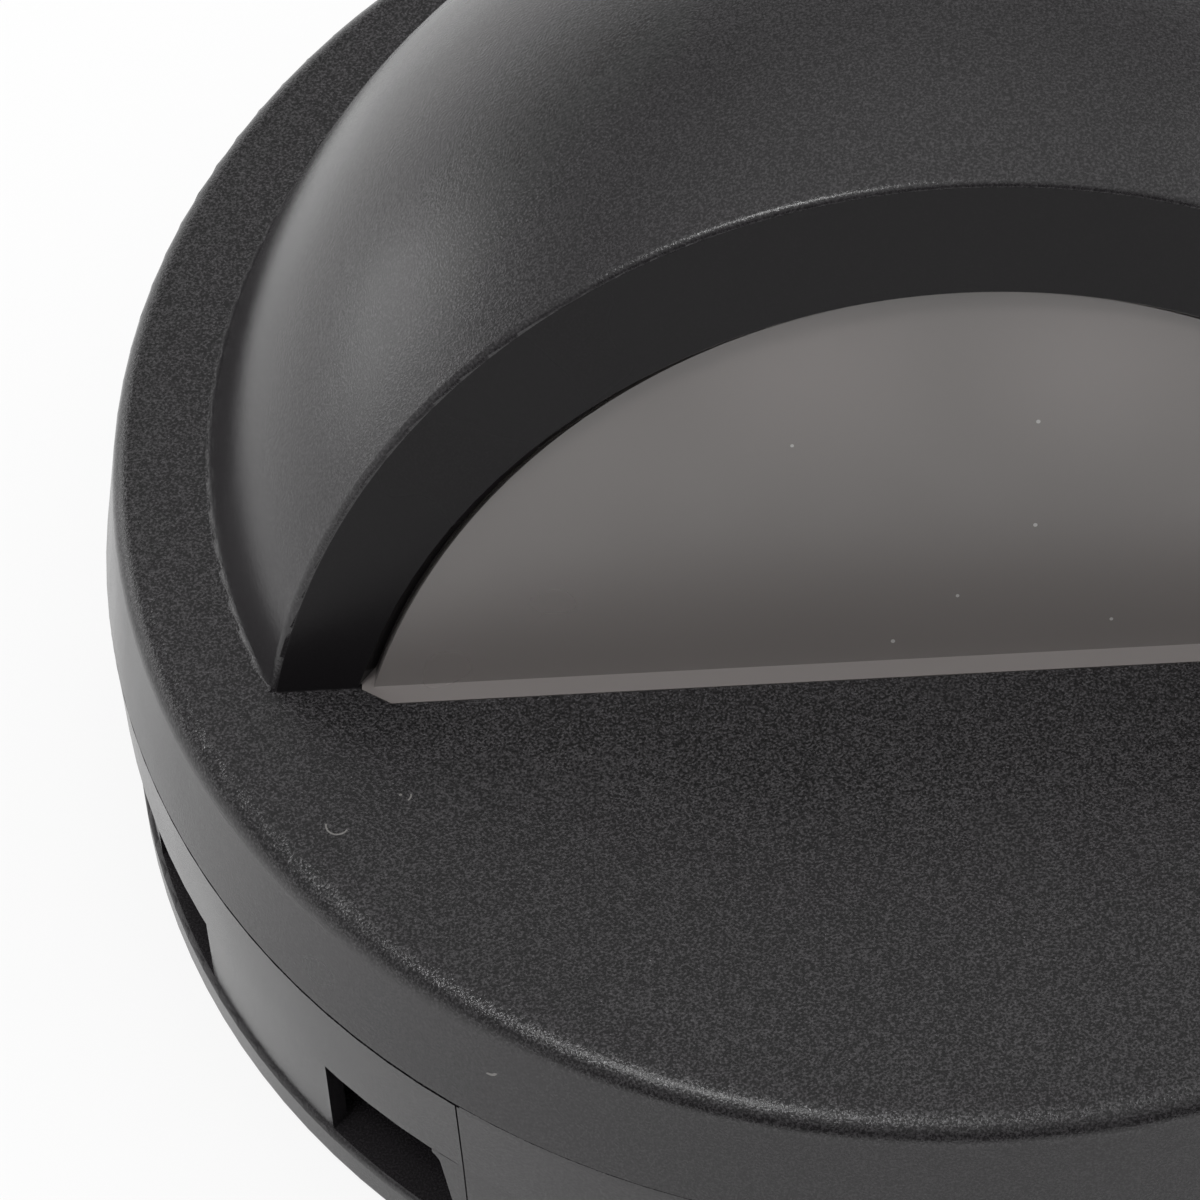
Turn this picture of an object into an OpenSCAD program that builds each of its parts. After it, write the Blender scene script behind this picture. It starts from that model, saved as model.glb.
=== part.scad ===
// Round deck light with an eyelid hood over a smoked lens.
// It lies on its back: the back plane is z = 0, the front faces up,
// the hood is on the +Y side and the flat half of the front on the -Y side.
// Angles named from_six are counted either way from the 6 o'clock (-Y) direction.

/* [Front cover] */
// Height of the flat front face above the back
face_h = 53; // [50:0.5:60]
// Radius of the skirt at its lower edge, the widest part
skirt_r = 102.1; // [101.5:0.1:104]
// How much narrower the front face is, where its edge would be sharp
face_inset = 2.1; // [1:0.1:4]
// Depth of the skirt below the front face
skirt_h = 16.8; // [14:0.2:18]
// Rounding of the edge round the front face
edge_r = 3.4; // [1.5:0.1:4.5]
// Wall of the skirt
skirt_wall = 2.6; // [2:0.1:3]
// Thickness of the front face
face_t = 2.8; // [2.4:0.1:3.4]
// Width of the small nibs that centre the skirt on the base
nib_w = 3.2; // [2:0.2:6]

/* [Hood] */
// Width of the flat rim between the face's edge and the dome
rim_w = 12; // [11:0.1:13.5]
// Depth of the dome's centre below the front face
dome_drop = 30; // [26:0.5:34]
// Wall of the dome
dome_wall = 2.6; // [2:0.1:3]
// Rounding where the dome meets the front face
dome_foot_fillet = 0.8; // [0.4:0.1:1.2]
// Distance of the lens's bend line below the centre
mouth_y = 34.6; // [30:0.2:40]
// Slope of the hood's mouth to the front face
mouth_slope = 72.8; // [68:0.2:78]
// Thickness of the lip round the mouth
lip_t = 2.4; // [2:0.1:3]
// Width of the lip at its top
lip_w = 14.4; // [12:0.1:16]
// Distance of the centre of the opening's round edge below the bend line
open_drop = 24.8; // [20:0.2:28]
// How much the opening narrows through the lip
lip_draft = 1.6; // [0.5:0.1:2]
// Rounding of the outer edge of the lip
lip_edge_r = 1.2; // [0.6:0.1:1.8]

/* [Lens] */
// How far the lens leans back from the mouth, in degrees
lens_lean = 3.1; // [1:0.1:3.2]
// Thickness of the lens
lens_t = 2; // [1.6:0.1:2.6]
// Width of the strip of the lens that lies in the front face
strip_w = 2.5; // [1.5:0.1:4]
// Depth of that strip
strip_t = 2; // [1.5:0.1:2.2]
// Length of the slants that cut the strip's two front corners
strip_slant = 3.4; // [1:0.1:5]
// Running gap all round the lens
lens_gap = 0.12; // [0.05:0.01:0.3]
// Width of the hidden flange of the lens
lens_flange_w = 3.4; // [2.5:0.1:4]
// Thickness of that flange
lens_flange_t = 1.4; // [1:0.1:2]
// Thickness of the lens gasket, pressed
lens_gasket_t = 0.6; // [0.4:0.1:1]

/* [Lens retainer] */
// Thickness of the retaining frame
retainer_t = 2.2; // [1.6:0.1:3]
// Width of the retaining frame inside the flange's edge
retainer_w = 6; // [4:0.5:8]
// Distance of its screws outside the flange's edge
retainer_screw_out = 3.7; // [3:0.1:3.8]
// Radius of the bosses for its screws
retainer_boss_r = 2.5; // [2.2:0.1:2.6]

/* [Reflector] */
// Wall of the reflector
reflector_t = 1.2; // [0.8:0.1:1.6]
// Gap between the reflector and the dome
reflector_gap = 0.3; // [0.2:0.1:0.6]
// Distance of its screws from the reflector's edge
reflector_screw_in = 10.9; // [8:0.1:12]

/* [Base] */
// Height of the foot, up to the sill of the windows
foot_h = 6; // [5:0.5:8]
// How far the foot stands inside the skirt
foot_inset = 0.7; // [0.2:0.1:0.9]
// Rounding of the foot's edges
foot_edge_r = 1.1; // [0.5:0.1:1.5]
// How far the wall between the windows stands inside the skirt
wall_inset = 1.3; // [1.1:0.1:1.9]
// Thickness of that wall
wall_t = 2.4; // [2:0.1:2.8]
// How far the band above the windows stands inside the skirt, at its lower edge
band_inset = 0.2; // [0.1:0.1:0.7]
// Height of the lower edge of the band above the back
band_z = 21.7; // [19:0.1:24]
// Gap between the band and the skirt
parting_gap = 0.5; // [0.3:0.05:0.9]
// Gap left at the plain blocks at 6 and 12 o'clock
block_gap = 0.12; // [0.05:0.01:0.25]
// Thickness of the floor
floor_t = 3; // [2.4:0.1:4]

/* [Windows] */
// Angle from 6 o'clock to the first window's centre
window_one = 44.6; // [43:0.2:46]
// Angle from 6 o'clock to the second window's centre
window_two = 70.9; // [69:0.2:73]
// Width of a window along the wall
window_w = 19.6; // [15:0.2:22]
// How far the edge next to the block leans out at the sill
window_lean = 2.6; // [0:0.2:4]
// Rounding of the leaning edge's upper corner
window_corner_r = 1.6; // [0.5:0.1:3]
// Angle from 6 o'clock to the witness line on the block
witness_from_six = 37; // [35:0.1:37.2]

/* [Sealed chamber] */
// Space between the chamber wall and the outer wall
chamber_space = 4.8; // [4.6:0.1:5.4]
// Thickness of the chamber wall
chamber_t = 3.4; // [3:0.1:3.6]
// Distance from the top of the chamber wall to the face's underside
chamber_top_gap = 6.2; // [5:0.2:8]
// Width of the seal groove
groove_w = 1.8; // [1.4:0.1:2]
// Depth of the seal groove
groove_d = 2.5; // [2:0.1:3]
// Height of the pressed cover seal
seal_h = 1.5; // [1:0.1:1.8]
// Side clearance of the seal and of the rib that presses it
seal_gap = 0.2; // [0.1:0.05:0.3]

/* [Snap hooks] */
// Width of a snap hook
hook_w = 8; // [6:0.5:10]
// Thickness of a snap hook's arm
hook_t = 1.8; // [1.4:0.1:2]
// Distance of the catch under which a hook sits below the skirt
catch_drop = 6; // [4:0.2:8]
// How far the hook's barb reaches outward
barb = 1.6; // [1.2:0.1:1.8]
// Height of the barb
barb_h = 2.6; // [2:0.1:4]

/* [Wall fixing] */
// Radius of the circle of fixing holes
fixing_circle_r = 70; // [66:0.5:72]
// Radius of a fixing hole
fixing_hole_r = 2.6; // [2.2:0.1:3]
// Radius of the pad round a fixing hole
fixing_pad_r = 7; // [5.5:0.5:8]
// Height of the pad above the floor
fixing_pad_h = 2; // [1:0.5:3]
// Width of the foam ring on the back
foam_w = 10; // [6:0.5:12]
// Distance of the foam ring from the foot's edge
foam_inset = 9.4; // [8.4:0.1:11]

/* [Cable entry] */
// Place of the cable entry, along X
entry_x = 30; // [28:0.5:32]
// Place of the cable entry, along Y
entry_y = 26; // [24:0.5:28]
// Radius of the hole in the floor
entry_hole_r = 10; // [9:0.25:11]
// Radius of the grommet's bore
cable_r = 4.5; // [3.5:0.1:5]
// Radius of the grommet's collars
grommet_r = 13; // [12.5:0.25:14]
// Thickness of each collar
grommet_collar_t = 2; // [1.5:0.1:2.4]

/* [Gear tray] */
// Gap between the gear tray and the chamber wall
tray_gap = 4.2; // [2:0.1:6]
// Thickness of the gear tray
tray_t = 1.5; // [1:0.1:2]
// Depth of the tray's underside below the face's underside
tray_drop = 12.2; // [11:0.1:13]
// Distance of the tray's bosses from its edge
tray_boss_in = 10; // [8:0.5:12]
// Radius of a tray boss
tray_boss_r = 4; // [3.5:0.1:5]
// Distance of the board's round edge from the tray's edge
board_inset = 24; // [20:0.5:28]
// Distance of the board's straight edge below the centre
board_cut_y = 20; // [16:0.5:24]
// Distance of the board's screws from its round edge
board_screw_in = 16; // [14:0.5:18]
// Distance between the arcs of chips
chip_pitch = 17; // [15:0.5:19]
// Thickness of the board
board_t = 1.6; // [1:0.1:2]

/* [Driver and terminals] */
// Space between each end of the driver and the tray's bosses
driver_space = 5.7; // [4:0.1:9]
// Width of the driver
driver_w = 34; // [30:1:36]
// Height of the driver
driver_h = 21; // [18:0.5:24]
// Distance of the driver's middle below the centre
driver_y = 34; // [32:0.5:36]
// Length of the terminal block
block_l = 34; // [30:1:36]
// Width of the terminal block
block_w = 19; // [17:0.5:21]
// Height of the terminal block
block_h = 15; // [13:0.5:18]
// Distance of the terminal block's middle to the left of the centre
block_x = 32; // [28:0.5:34]
// Radius of an internal lead
lead_r = 0.9; // [0.7:0.05:1.1]

/* [Screws] */
// Radius of the shank of the larger screws
screw_r = 1.6; // [1.4:0.1:1.8]
// Radius of the head of the larger screws
screw_head_r = 3.2; // [2.8:0.1:3.4]
// Height of the head of the larger screws
screw_head_h = 2.2; // [1.8:0.1:2.4]
// Radius of the shank of the small screws
small_screw_r = 1; // [0.8:0.05:1.1]
// Radius of the head of the small screws
small_head_r = 2; // [1.8:0.1:2.3]
// Height of the head of the small screws
small_head_h = 1.3; // [1:0.1:1.6]
// Clearance of a screw in its hole
screw_gap = 0.15; // [0.1:0.05:0.3]

/* [Hidden] */
$fn = 96;
black = [0.11, 0.11, 0.115];
// Overlap that joins two bodies of one moulding
joint = 0.4;
// Small chamfer on the band and the upstand
soft = 0.7;
// A length beyond every part, for cutting tools
far = 300;
face_under = face_h - face_t;
face_r = skirt_r - face_inset;
foot_r = skirt_r - foot_inset;
wall_r = skirt_r - wall_inset;
band_r = skirt_r - band_inset;
dome_foot_r = face_r - rim_w;
// Shank of a small screw in its pilot hole
small_shank_r = small_screw_r - 0.02;
skirt_z = face_h - skirt_h;
band_top = skirt_z - parting_gap;
wall_in_r = wall_r - wall_t;
chamber_r = wall_in_r - chamber_space;
foam_out_r = foot_r - foam_inset;
foam_in_r = foam_out_r - foam_w;
catch_z = skirt_z - catch_drop;
band_in_r = wall_in_r - 0.3;
sides = [-1, 1];
windows = [window_one, window_two, 180 - window_two, 180 - window_one];
window_h = band_z - foot_h;
window_depth = foot_r - wall_in_r + 3;
window_half = asin(window_w / 2 / wall_r);
// The blocks run on into those windows, whose cuts then end them
block_half = window_one - window_half + 1;
dome_r = sqrt(pow(dome_foot_r, 2) + pow(dome_drop, 2));
dome_in_r = dome_r - dome_wall;
dome_z = face_h - dome_drop;
// Distance of the mouth's plane from the dome's centre
mouth_h = mouth_y * sin(mouth_slope) + dome_drop * cos(mouth_slope);
// Height of the front face's line in the mouth's own plane
mouth_base = dome_drop * sin(mouth_slope) - mouth_y * cos(mouth_slope);
lens_slope = mouth_slope - lens_lean;
// The opening's round edge, in the mouth's own plane
mouth_r = sqrt(pow(dome_r, 2) - pow(mouth_h, 2));
open_y = mouth_base - open_drop;
lip_open_r = mouth_r - lip_w - open_y;
lip_throat_r = lip_open_r - lip_draft;
lens_edge_r = lip_throat_r - lens_gap;
// The strip ends this far inside the mouth's corners
strip_inset = 0.3;
open_half = sqrt(pow(lip_open_r, 2) - pow(open_drop, 2));
flange_top = mouth_h - lip_t - lens_gasket_t;
flange_r = lip_throat_r + lens_flange_w;
flange_back = flange_top - lens_flange_t;
retainer_back = flange_back - retainer_t;
retainer_screw_r = flange_r + retainer_screw_out;
// How much the drafted opening changes over the overlap of its cutter
lip_slant = joint * lip_draft / lip_t;
retainer_screws_at = [24, 57, 90, 123, 156];
rib_at = [16, (window_one + window_two) / 2, 90, 180 - (window_one + window_two) / 2, 164];
rib_t = 2;
groove_r = chamber_r - chamber_t / 2;
chamber_top = face_under - chamber_top_gap;
seal_z = chamber_top - groove_d;
rib_out_r = groove_r + groove_w / 2 - seal_gap;
rib_in_r = groove_r - groove_w / 2 + seal_gap;
// The base's upstand inside the skirt
upstand_out_r = skirt_r - skirt_wall - 0.7;
upstand_in_r = upstand_out_r - 2;
upstand_top = skirt_z + 4;
hook_out_r = upstand_in_r - 0.5;
hook_in_r = hook_out_r - hook_t;
tray_z = face_under - tray_drop;
tray_r = chamber_r - chamber_t - tray_gap;
tray_boss_circle_r = tray_r - tray_boss_in;
board_z = tray_z + tray_t;
board_r = tray_r - board_inset;
driver_l = 2 * (tray_boss_circle_r * cos(45) - tray_boss_r - driver_space);
floor_under = foot_h - floor_t;
tray_boss_at = [45, 135, 225, 315];
fixing_at = [0, 90, 180, 270];
reflector_out_r = rib_in_r - 0.3;
reflector_screw_circle_r = reflector_out_r - reflector_screw_in;
reflector_dome_r = dome_in_r - reflector_gap;
reflector_front = retainer_back - 1.6;
// The outer two of the reflector's screws stand just in front of the bend line
reflector_screw_first = asin((mouth_y + small_head_r + 1) / reflector_screw_circle_r);
reflector_screw_at = [for (a = [reflector_screw_first, 62, 118, 180 - reflector_screw_first]) -a];

// Frame whose origin is the dome's centre and whose Z axis points out of the mouth.
module mouth_frame() {
    translate([0, 0, dome_z]) rotate([mouth_slope, 0, 0]) children();
}

// The mouth's frame moved onto the centre of the opening's round edge.
module open_frame() {
    mouth_frame() translate([0, open_y, 0]) children();
}

// Everything above the height z.
module above(z) {
    translate([-far / 2, -far / 2, z]) cube([far, far, far]);
}

// A ring of square section.
module ring(in_r, out_r, z, h) {
    rotate_extrude() translate([in_r, z]) square([out_r - in_r, h]);
}

// Children turned to each angle counted from 6 o'clock, on both sides.
module on_both_sides(angles) {
    for (s = sides) for (a = angles) rotate([0, 0, -90 + s * a]) children();
}

// A pan head screw whose head stands on z = 0 and whose shank points down.
module screw(shank_r, head_r, head_h, length) {
    slot_w = head_r * 0.28;
    difference() {
        union() {
            cylinder(r = head_r, h = head_h * 0.55);
            translate([0, 0, head_h * 0.55]) cylinder(r1 = head_r, r2 = head_r * 0.7, h = head_h * 0.45);
            translate([0, 0, -length]) cylinder(r1 = shank_r * 0.6, r2 = shank_r, h = shank_r);
            translate([0, 0, shank_r - length]) cylinder(r = shank_r, h = length - shank_r + joint);
        }
        for (a = [0, 90]) rotate([0, 0, a]) translate([-head_r * 0.6, -slot_w / 2, head_h * 0.45])
            cube([head_r * 1.2, slot_w, head_h]);
    }
}

// Outline of the cover's outside, from the axis out, with a rounded front edge.
module cover_outline() {
    cx = face_r - edge_r;
    cz = face_h - edge_r;
    dx = skirt_r - cx;
    dz = skirt_z - cz;
    touch = atan2(dz, dx) + acos(edge_r / norm([dx, dz]));
    polygon([[0, skirt_z], [skirt_r, skirt_z], [cx + edge_r * cos(touch), cz + edge_r * sin(touch)],
        [cx, cz], [cx, face_h], [0, face_h]]);
    translate([cx, cz]) circle(r = edge_r);
}

// Outline of the hollow under the cover.
module cover_hollow_outline() {
    bottom_r = skirt_r - skirt_wall;
    top_r = face_r - skirt_wall + 0.4;
    chamfer = 1.5;
    polygon([[-joint, skirt_z - joint], [bottom_r, skirt_z - joint], [bottom_r, skirt_z],
        [top_r, face_under - chamfer], [top_r - chamfer, face_under], [-joint, face_under]]);
}

// Ball about the dome's centre, cut flat at the height top over the mouth's own plane.
module cut_ball(r, top) {
    difference() {
        translate([0, 0, dome_z]) sphere(r = r, $fn = 180);
        mouth_frame() translate([-far / 2, -far / 2, top]) cube([far, far, far]);
    }
}

// Cut ball whose edge round the mouth is rounded.
module rounded_ball(r, top, rim_r) {
    rim_x = sqrt(pow(r - rim_r, 2) - pow(top - rim_r, 2));
    out = r / (r - rim_r) * 1.1;
    difference() {
        cut_ball(r, top);
        mouth_frame() rotate_extrude($fn = 180)
            polygon([[rim_x, top - rim_r], [rim_x * out, (top - rim_r) * out], [rim_x, (top - rim_r) * out]]);
    }
    mouth_frame() rotate_extrude($fn = 180) translate([rim_x, top - rim_r]) circle(r = rim_r, $fn = 48);
}

// Outline of the small concave fillet round the dome's foot.
module foot_fillet_outline() {
    f = dome_foot_fillet;
    cx = sqrt(pow(dome_r + f, 2) - pow(dome_drop + f, 2));
    k = dome_r / (dome_r + f);
    difference() {
        polygon([[cx - 2 * f, -f], [cx, -f / 2], [cx, f], [cx * k, (dome_drop + f) * k - dome_drop],
            [cx * k - f, f / 2]]);
        translate([cx, f]) circle(r = f, $fn = 48);
    }
}

// Plan of the lens's strip, with its two front corners cut off; grow widens it.
module strip_plan(grow) {
    half = open_half - lens_gap - strip_inset + grow;
    front = -mouth_y - strip_w - grow;
    back = -mouth_y + (lip_t + lens_gasket_t + lens_flange_t) / sin(mouth_slope);
    polygon([[-half, back], [-half, -mouth_y - strip_inset], [strip_slant - half, front],
        [half - strip_slant, front], [half, -mouth_y - strip_inset], [half, back]]);
}

// Snap hook, drawn at angle 0.
module snap_hook() {
    arm_h = face_under - catch_z + barb_h;
    translate([hook_in_r, -hook_w / 2, catch_z - barb_h]) cube([hook_t, hook_w, arm_h + joint]);
    translate([0, hook_w / 2, 0]) rotate([90, 0, 0]) linear_extrude(hook_w)
        polygon([[hook_out_r - joint, catch_z - seal_gap], [hook_out_r + barb, catch_z - seal_gap],
            [hook_out_r + barb, catch_z - barb_h * 0.6], [hook_out_r - joint, catch_z - barb_h - joint]]);
}

module front_cover() {
    color(black) {
        difference() {
            union() {
                rotate_extrude($fn = 180) difference() {
                    cover_outline();
                    cover_hollow_outline();
                }
                intersection() {
                    rounded_ball(dome_r, mouth_h, lip_edge_r);
                    above(face_under);
                }
                intersection() {
                    translate([0, 0, face_h]) rotate_extrude($fn = 180) foot_fillet_outline();
                    mouth_frame() translate([-far / 2, -far / 2, mouth_h - far]) cube([far, far, far]);
                }
            }
            // Hollow of the dome, open down through the front face
            intersection() {
                cut_ball(dome_in_r, mouth_h - lip_t);
                above(face_under - joint);
            }
            // Opening of the mouth, above the front face
            intersection() {
                open_frame() translate([0, 0, mouth_h - lip_t - joint])
                    cylinder(r1 = lip_throat_r - lip_slant, r2 = lip_open_r + lip_slant,
                        h = lip_t + 2 * joint, $fn = 180);
                above(face_h);
            }
            // Bed of the lens's strip
            translate([0, 0, face_h - strip_t]) linear_extrude(strip_t + strip_inset) strip_plan(lens_gap);
            // Pilot holes for the reflector's screws
            for (a = reflector_screw_at) rotate([0, 0, a])
                translate([reflector_screw_circle_r, 0, face_under - joint])
                    cylinder(r = small_screw_r, h = face_t - 0.9 + joint, $fn = 32);
            // Pilot holes for the retainer's screws, into the lip
            open_frame() for (a = retainer_screws_at) rotate([0, 0, a])
                translate([retainer_screw_r, 0, mouth_h - lip_t - joint])
                    cylinder(r = small_screw_r, h = joint + lip_t / 2, $fn = 32);
        }
        retainer_bosses();
        // Rib that presses the cover seal
        ring(rib_in_r, rib_out_r, seal_z + seal_h, face_under - seal_z - seal_h + joint);
        on_both_sides(windows) snap_hook();
        // Nibs that centre the skirt on the base
        on_both_sides([window_one, 180 - window_one])
            translate([skirt_r - skirt_wall, -nib_w / 2, skirt_z - parting_gap + block_gap])
                cube([skirt_wall - 0.2, nib_w, parting_gap - block_gap + joint]);
    }
}

// Bosses inside the hood for the retainer's screws.
module retainer_bosses() {
    open_frame() for (a = retainer_screws_at) rotate([0, 0, a])
        translate([retainer_screw_r, 0, 0]) difference() {
            translate([0, 0, flange_back])
                cylinder(r = retainer_boss_r, h = mouth_h - lip_t - flange_back + joint, $fn = 48);
            translate([0, 0, flange_back - joint]) cylinder(r = small_screw_r, h = far, $fn = 32);
        }
}

// The lens: a smoked D that folds into a strip, with a hidden flange.
module lens() {
    back_depth = mouth_h - flange_back;
    color([0.42, 0.40, 0.40]) difference() {
        union() {
            intersection() {
                open_frame() translate([0, 0, flange_back]) {
                    cylinder(r = lens_edge_r, h = back_depth + joint, $fn = 180);
                    cylinder(r = flange_r, h = lens_flange_t, $fn = 180);
                }
                lens_frame() translate([-far / 2, -far / 2, -far]) cube([far, far, far]);
                above(face_h);
            }
            translate([0, 0, face_h - strip_t]) linear_extrude(strip_t) strip_plan(0);
        }
        // Hollow behind the field
        intersection() {
            open_frame() translate([0, 0, flange_back - joint])
                cylinder(r = lens_edge_r - lens_t, h = back_depth + joint, $fn = 180);
            lens_frame() translate([-far / 2, -far / 2, -far - lens_t]) cube([far, far, far]);
            above(face_h + 0.4);
        }
    }
}

// Frame on the lens's bend line, with Z square to the lens.
module lens_frame() {
    translate([0, -mouth_y, face_h]) rotate([lens_slope, 0, 0]) children();
}

module lens_gasket() {
    color([0.75, 0.75, 0.72]) intersection() {
        open_frame() ring(lip_throat_r + 0.3, flange_r, flange_top, lens_gasket_t);
        above(face_h);
    }
}

module lens_retainer() {
    color([0.2, 0.2, 0.2]) difference() {
        intersection() {
            open_frame() translate([0, 0, retainer_back]) difference() {
                union() {
                    cylinder(r = flange_r, h = retainer_t, $fn = 180);
                    for (a = retainer_screws_at) rotate([0, 0, a]) translate([retainer_screw_r, 0, 0])
                        cylinder(r = retainer_boss_r, h = retainer_t, $fn = 48);
                    for (a = retainer_screws_at) rotate([0, 0, a])
                        translate([flange_r - 2, -retainer_boss_r, 0])
                            cube([retainer_screw_out + 2, 2 * retainer_boss_r, retainer_t]);
                }
                intersection() {
                    translate([0, 0, -joint])
                        cylinder(r = flange_r - retainer_w, h = retainer_t + 2 * joint, $fn = 180);
                    translate([-far / 2, open_drop + retainer_w, -joint]) cube([far, far, far]);
                }
            }
            above(face_h);
        }
        open_frame() for (a = retainer_screws_at) rotate([0, 0, a])
            translate([retainer_screw_r, 0, retainer_back - joint])
                cylinder(r = small_screw_r + screw_gap, h = retainer_t + 2 * joint, $fn = 32);
    }
}

module retainer_screws() {
    color([0.7, 0.7, 0.72]) open_frame() for (a = retainer_screws_at) rotate([0, 0, a])
        translate([retainer_screw_r, 0, retainer_back]) rotate([180, 0, 0])
            screw(small_shank_r, small_head_r, small_head_h, retainer_t + lens_flange_t + lens_gasket_t + 1);
}

// White liner that throws the light out of the mouth.
module reflector() {
    color([0.93, 0.93, 0.92]) difference() {
        union() {
            translate([0, 0, face_under - reflector_t])
                cylinder(r = reflector_out_r, h = reflector_t, $fn = 180);
            intersection() {
                cut_ball(reflector_dome_r, reflector_front);
                above(face_under - reflector_t);
            }
        }
        intersection() {
            cut_ball(reflector_dome_r - reflector_t, reflector_front + joint);
            above(face_under - reflector_t - joint);
        }
        for (a = reflector_screw_at) rotate([0, 0, a])
            translate([reflector_screw_circle_r, 0, face_under - reflector_t - joint])
                cylinder(r = small_screw_r + screw_gap, h = reflector_t + 2 * joint, $fn = 32);
    }
}

module reflector_screws() {
    color([0.7, 0.7, 0.72]) for (a = reflector_screw_at) rotate([0, 0, a])
        translate([reflector_screw_circle_r, 0, face_under - reflector_t]) rotate([180, 0, 0])
            screw(small_shank_r, small_head_r, small_head_h, reflector_t + 1.7);
}

module cover_seal() {
    color([0.85, 0.85, 0.83]) ring(rib_in_r, rib_out_r, seal_z, seal_h);
}

// Lower wall with the two blocks, cut by the windows.
module lower_wall() {
    difference() {
        union() {
            ring(wall_in_r, wall_r, foot_h - joint, band_z - foot_h + 2 * joint);
            for (m = [0, 180])
                block_ring(wall_in_r, band_r, foot_h - joint, band_z - foot_h + joint + soft, block_half, m);
        }
        for (s = sides) for (a = [window_two, 180 - window_two]) straight_cut(s, a);
        for (s = sides) for (a = [window_one, 180 - window_one]) leaning_cut(s, a);
    }
}

// Half profile of the foot and of the band above the windows.
module base_outline() {
    polygon([[band_in_r, band_z], [band_r - soft, band_z], [band_r, band_z + soft], [skirt_r, band_top],
        [upstand_out_r, band_top], [upstand_out_r, upstand_top - soft], [upstand_out_r - soft, upstand_top],
        [upstand_in_r, upstand_top], [upstand_in_r, catch_z], [band_in_r, catch_z]]);
    // Foot
    f = foot_edge_r;
    polygon([[foam_out_r + 0.5, 0], [foot_r - f, 0], [foot_r - f, f], [foot_r, f], [foot_r, foot_h - f],
        [foot_r - f, foot_h - f], [foot_r - f, foot_h], [foam_out_r + 0.5, foot_h]]);
    for (z = [f, foot_h - f]) translate([foot_r - f, z]) circle(r = f, $fn = 48);
}

// Hollow that cores the foot from behind.
module foot_core() {
    wall = 2.4;
    in_r = foam_out_r + 0.5 + wall;
    ring(in_r, foot_r - wall - 0.4, -joint, floor_under + joint);
}

// Frame of the window at the angle a from 6 o'clock on side s: Z runs out, Y up, the sill is at y = 0.
module window_frame(s, a) {
    rotate([0, 0, -90 + s * a]) translate([wall_in_r - 1.5, 0, foot_h]) rotate([90, 0, 90]) children();
}

// Cutter for a window with straight sides. It runs on above the band's edge,
// and the band is added after the cut.
module straight_cut(s, a) {
    window_frame(s, a) translate([-window_w / 2, 0, 0])
        cube([window_w, window_h + soft + joint, window_depth]);
}

// Cutter for a window whose side next to its block leans out towards the sill.
module leaning_cut(s, a) {
    half = window_w / 2;
    d = a < 90 ? -s : s;
    r = window_corner_r;
    slant = norm([window_h, window_lean]);
    cx = half - r * (slant - window_lean) / window_h;
    first = asin(window_lean / slant);
    arc = [for (t = [0:0.2:0.9]) let (p = first * (1 - t) + 90 * t)
        [cx + r * cos(p), window_h - r + r * sin(p)]];
    plan = concat([[-half, 0], [half + window_lean, 0]], arc,
        [[arc[len(arc) - 1][0], window_h + soft + joint], [-half, window_h + soft + joint]]);
    window_frame(s, a) linear_extrude(window_depth) polygon([for (p = plan) [d * p[0], p[1]]]);
}

// Part of a ring between two angles counted from 6 o'clock, on both sides of it.
module block_ring(in_r, out_r, z, h, half, middle) {
    rotate([0, 0, -90 + middle - half]) rotate_extrude(angle = 2 * half, $fn = 180)
        translate([in_r, z]) square([out_r - in_r, h]);
}

module base_floor() {
    difference() {
        union() {
            translate([0, 0, floor_under]) cylinder(r = foam_out_r + 1, h = floor_t, $fn = 180);
            // Pads round the fixing holes
            for (a = fixing_at) rotate([0, 0, a]) translate([fixing_circle_r, 0, 0])
                translate([0, 0, floor_under]) cylinder(r = fixing_pad_r, h = floor_t + fixing_pad_h);
        }
        for (a = fixing_at) rotate([0, 0, a]) translate([fixing_circle_r, 0, 0])
            cylinder(r = fixing_hole_r, h = far / 10);
        translate([entry_x, entry_y, 0]) cylinder(r = entry_hole_r, h = far / 10);
    }
}

// Stiffening web on the back, inside the foam ring.
module back_web() {
    web_t = 1.6;
    web_h = floor_under - 0.6;
    ring_r = 48;
    difference() {
        union() {
            ring(ring_r - web_t / 2, ring_r + web_t / 2, 0.6, web_h + joint);
            for (a = [22.5:45:359]) rotate([0, 0, a]) translate([ring_r, -web_t / 2, 0.6])
                cube([foam_in_r - 1.5 - ring_r, web_t, web_h + joint]);
        }
        translate([entry_x, entry_y, -joint]) cylinder(r = grommet_r + 1, h = far / 10);
    }
}

// Hollow posts that stand on the floor and take screws.
module post(x, y, r, top, pilot_r, depth) {
    translate([x, y, 0]) difference() {
        translate([0, 0, foot_h - joint]) cylinder(r = r, h = top - foot_h + joint, $fn = 48);
        translate([0, 0, top - depth]) cylinder(r = pilot_r, h = depth + joint, $fn = 32);
    }
}

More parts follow.
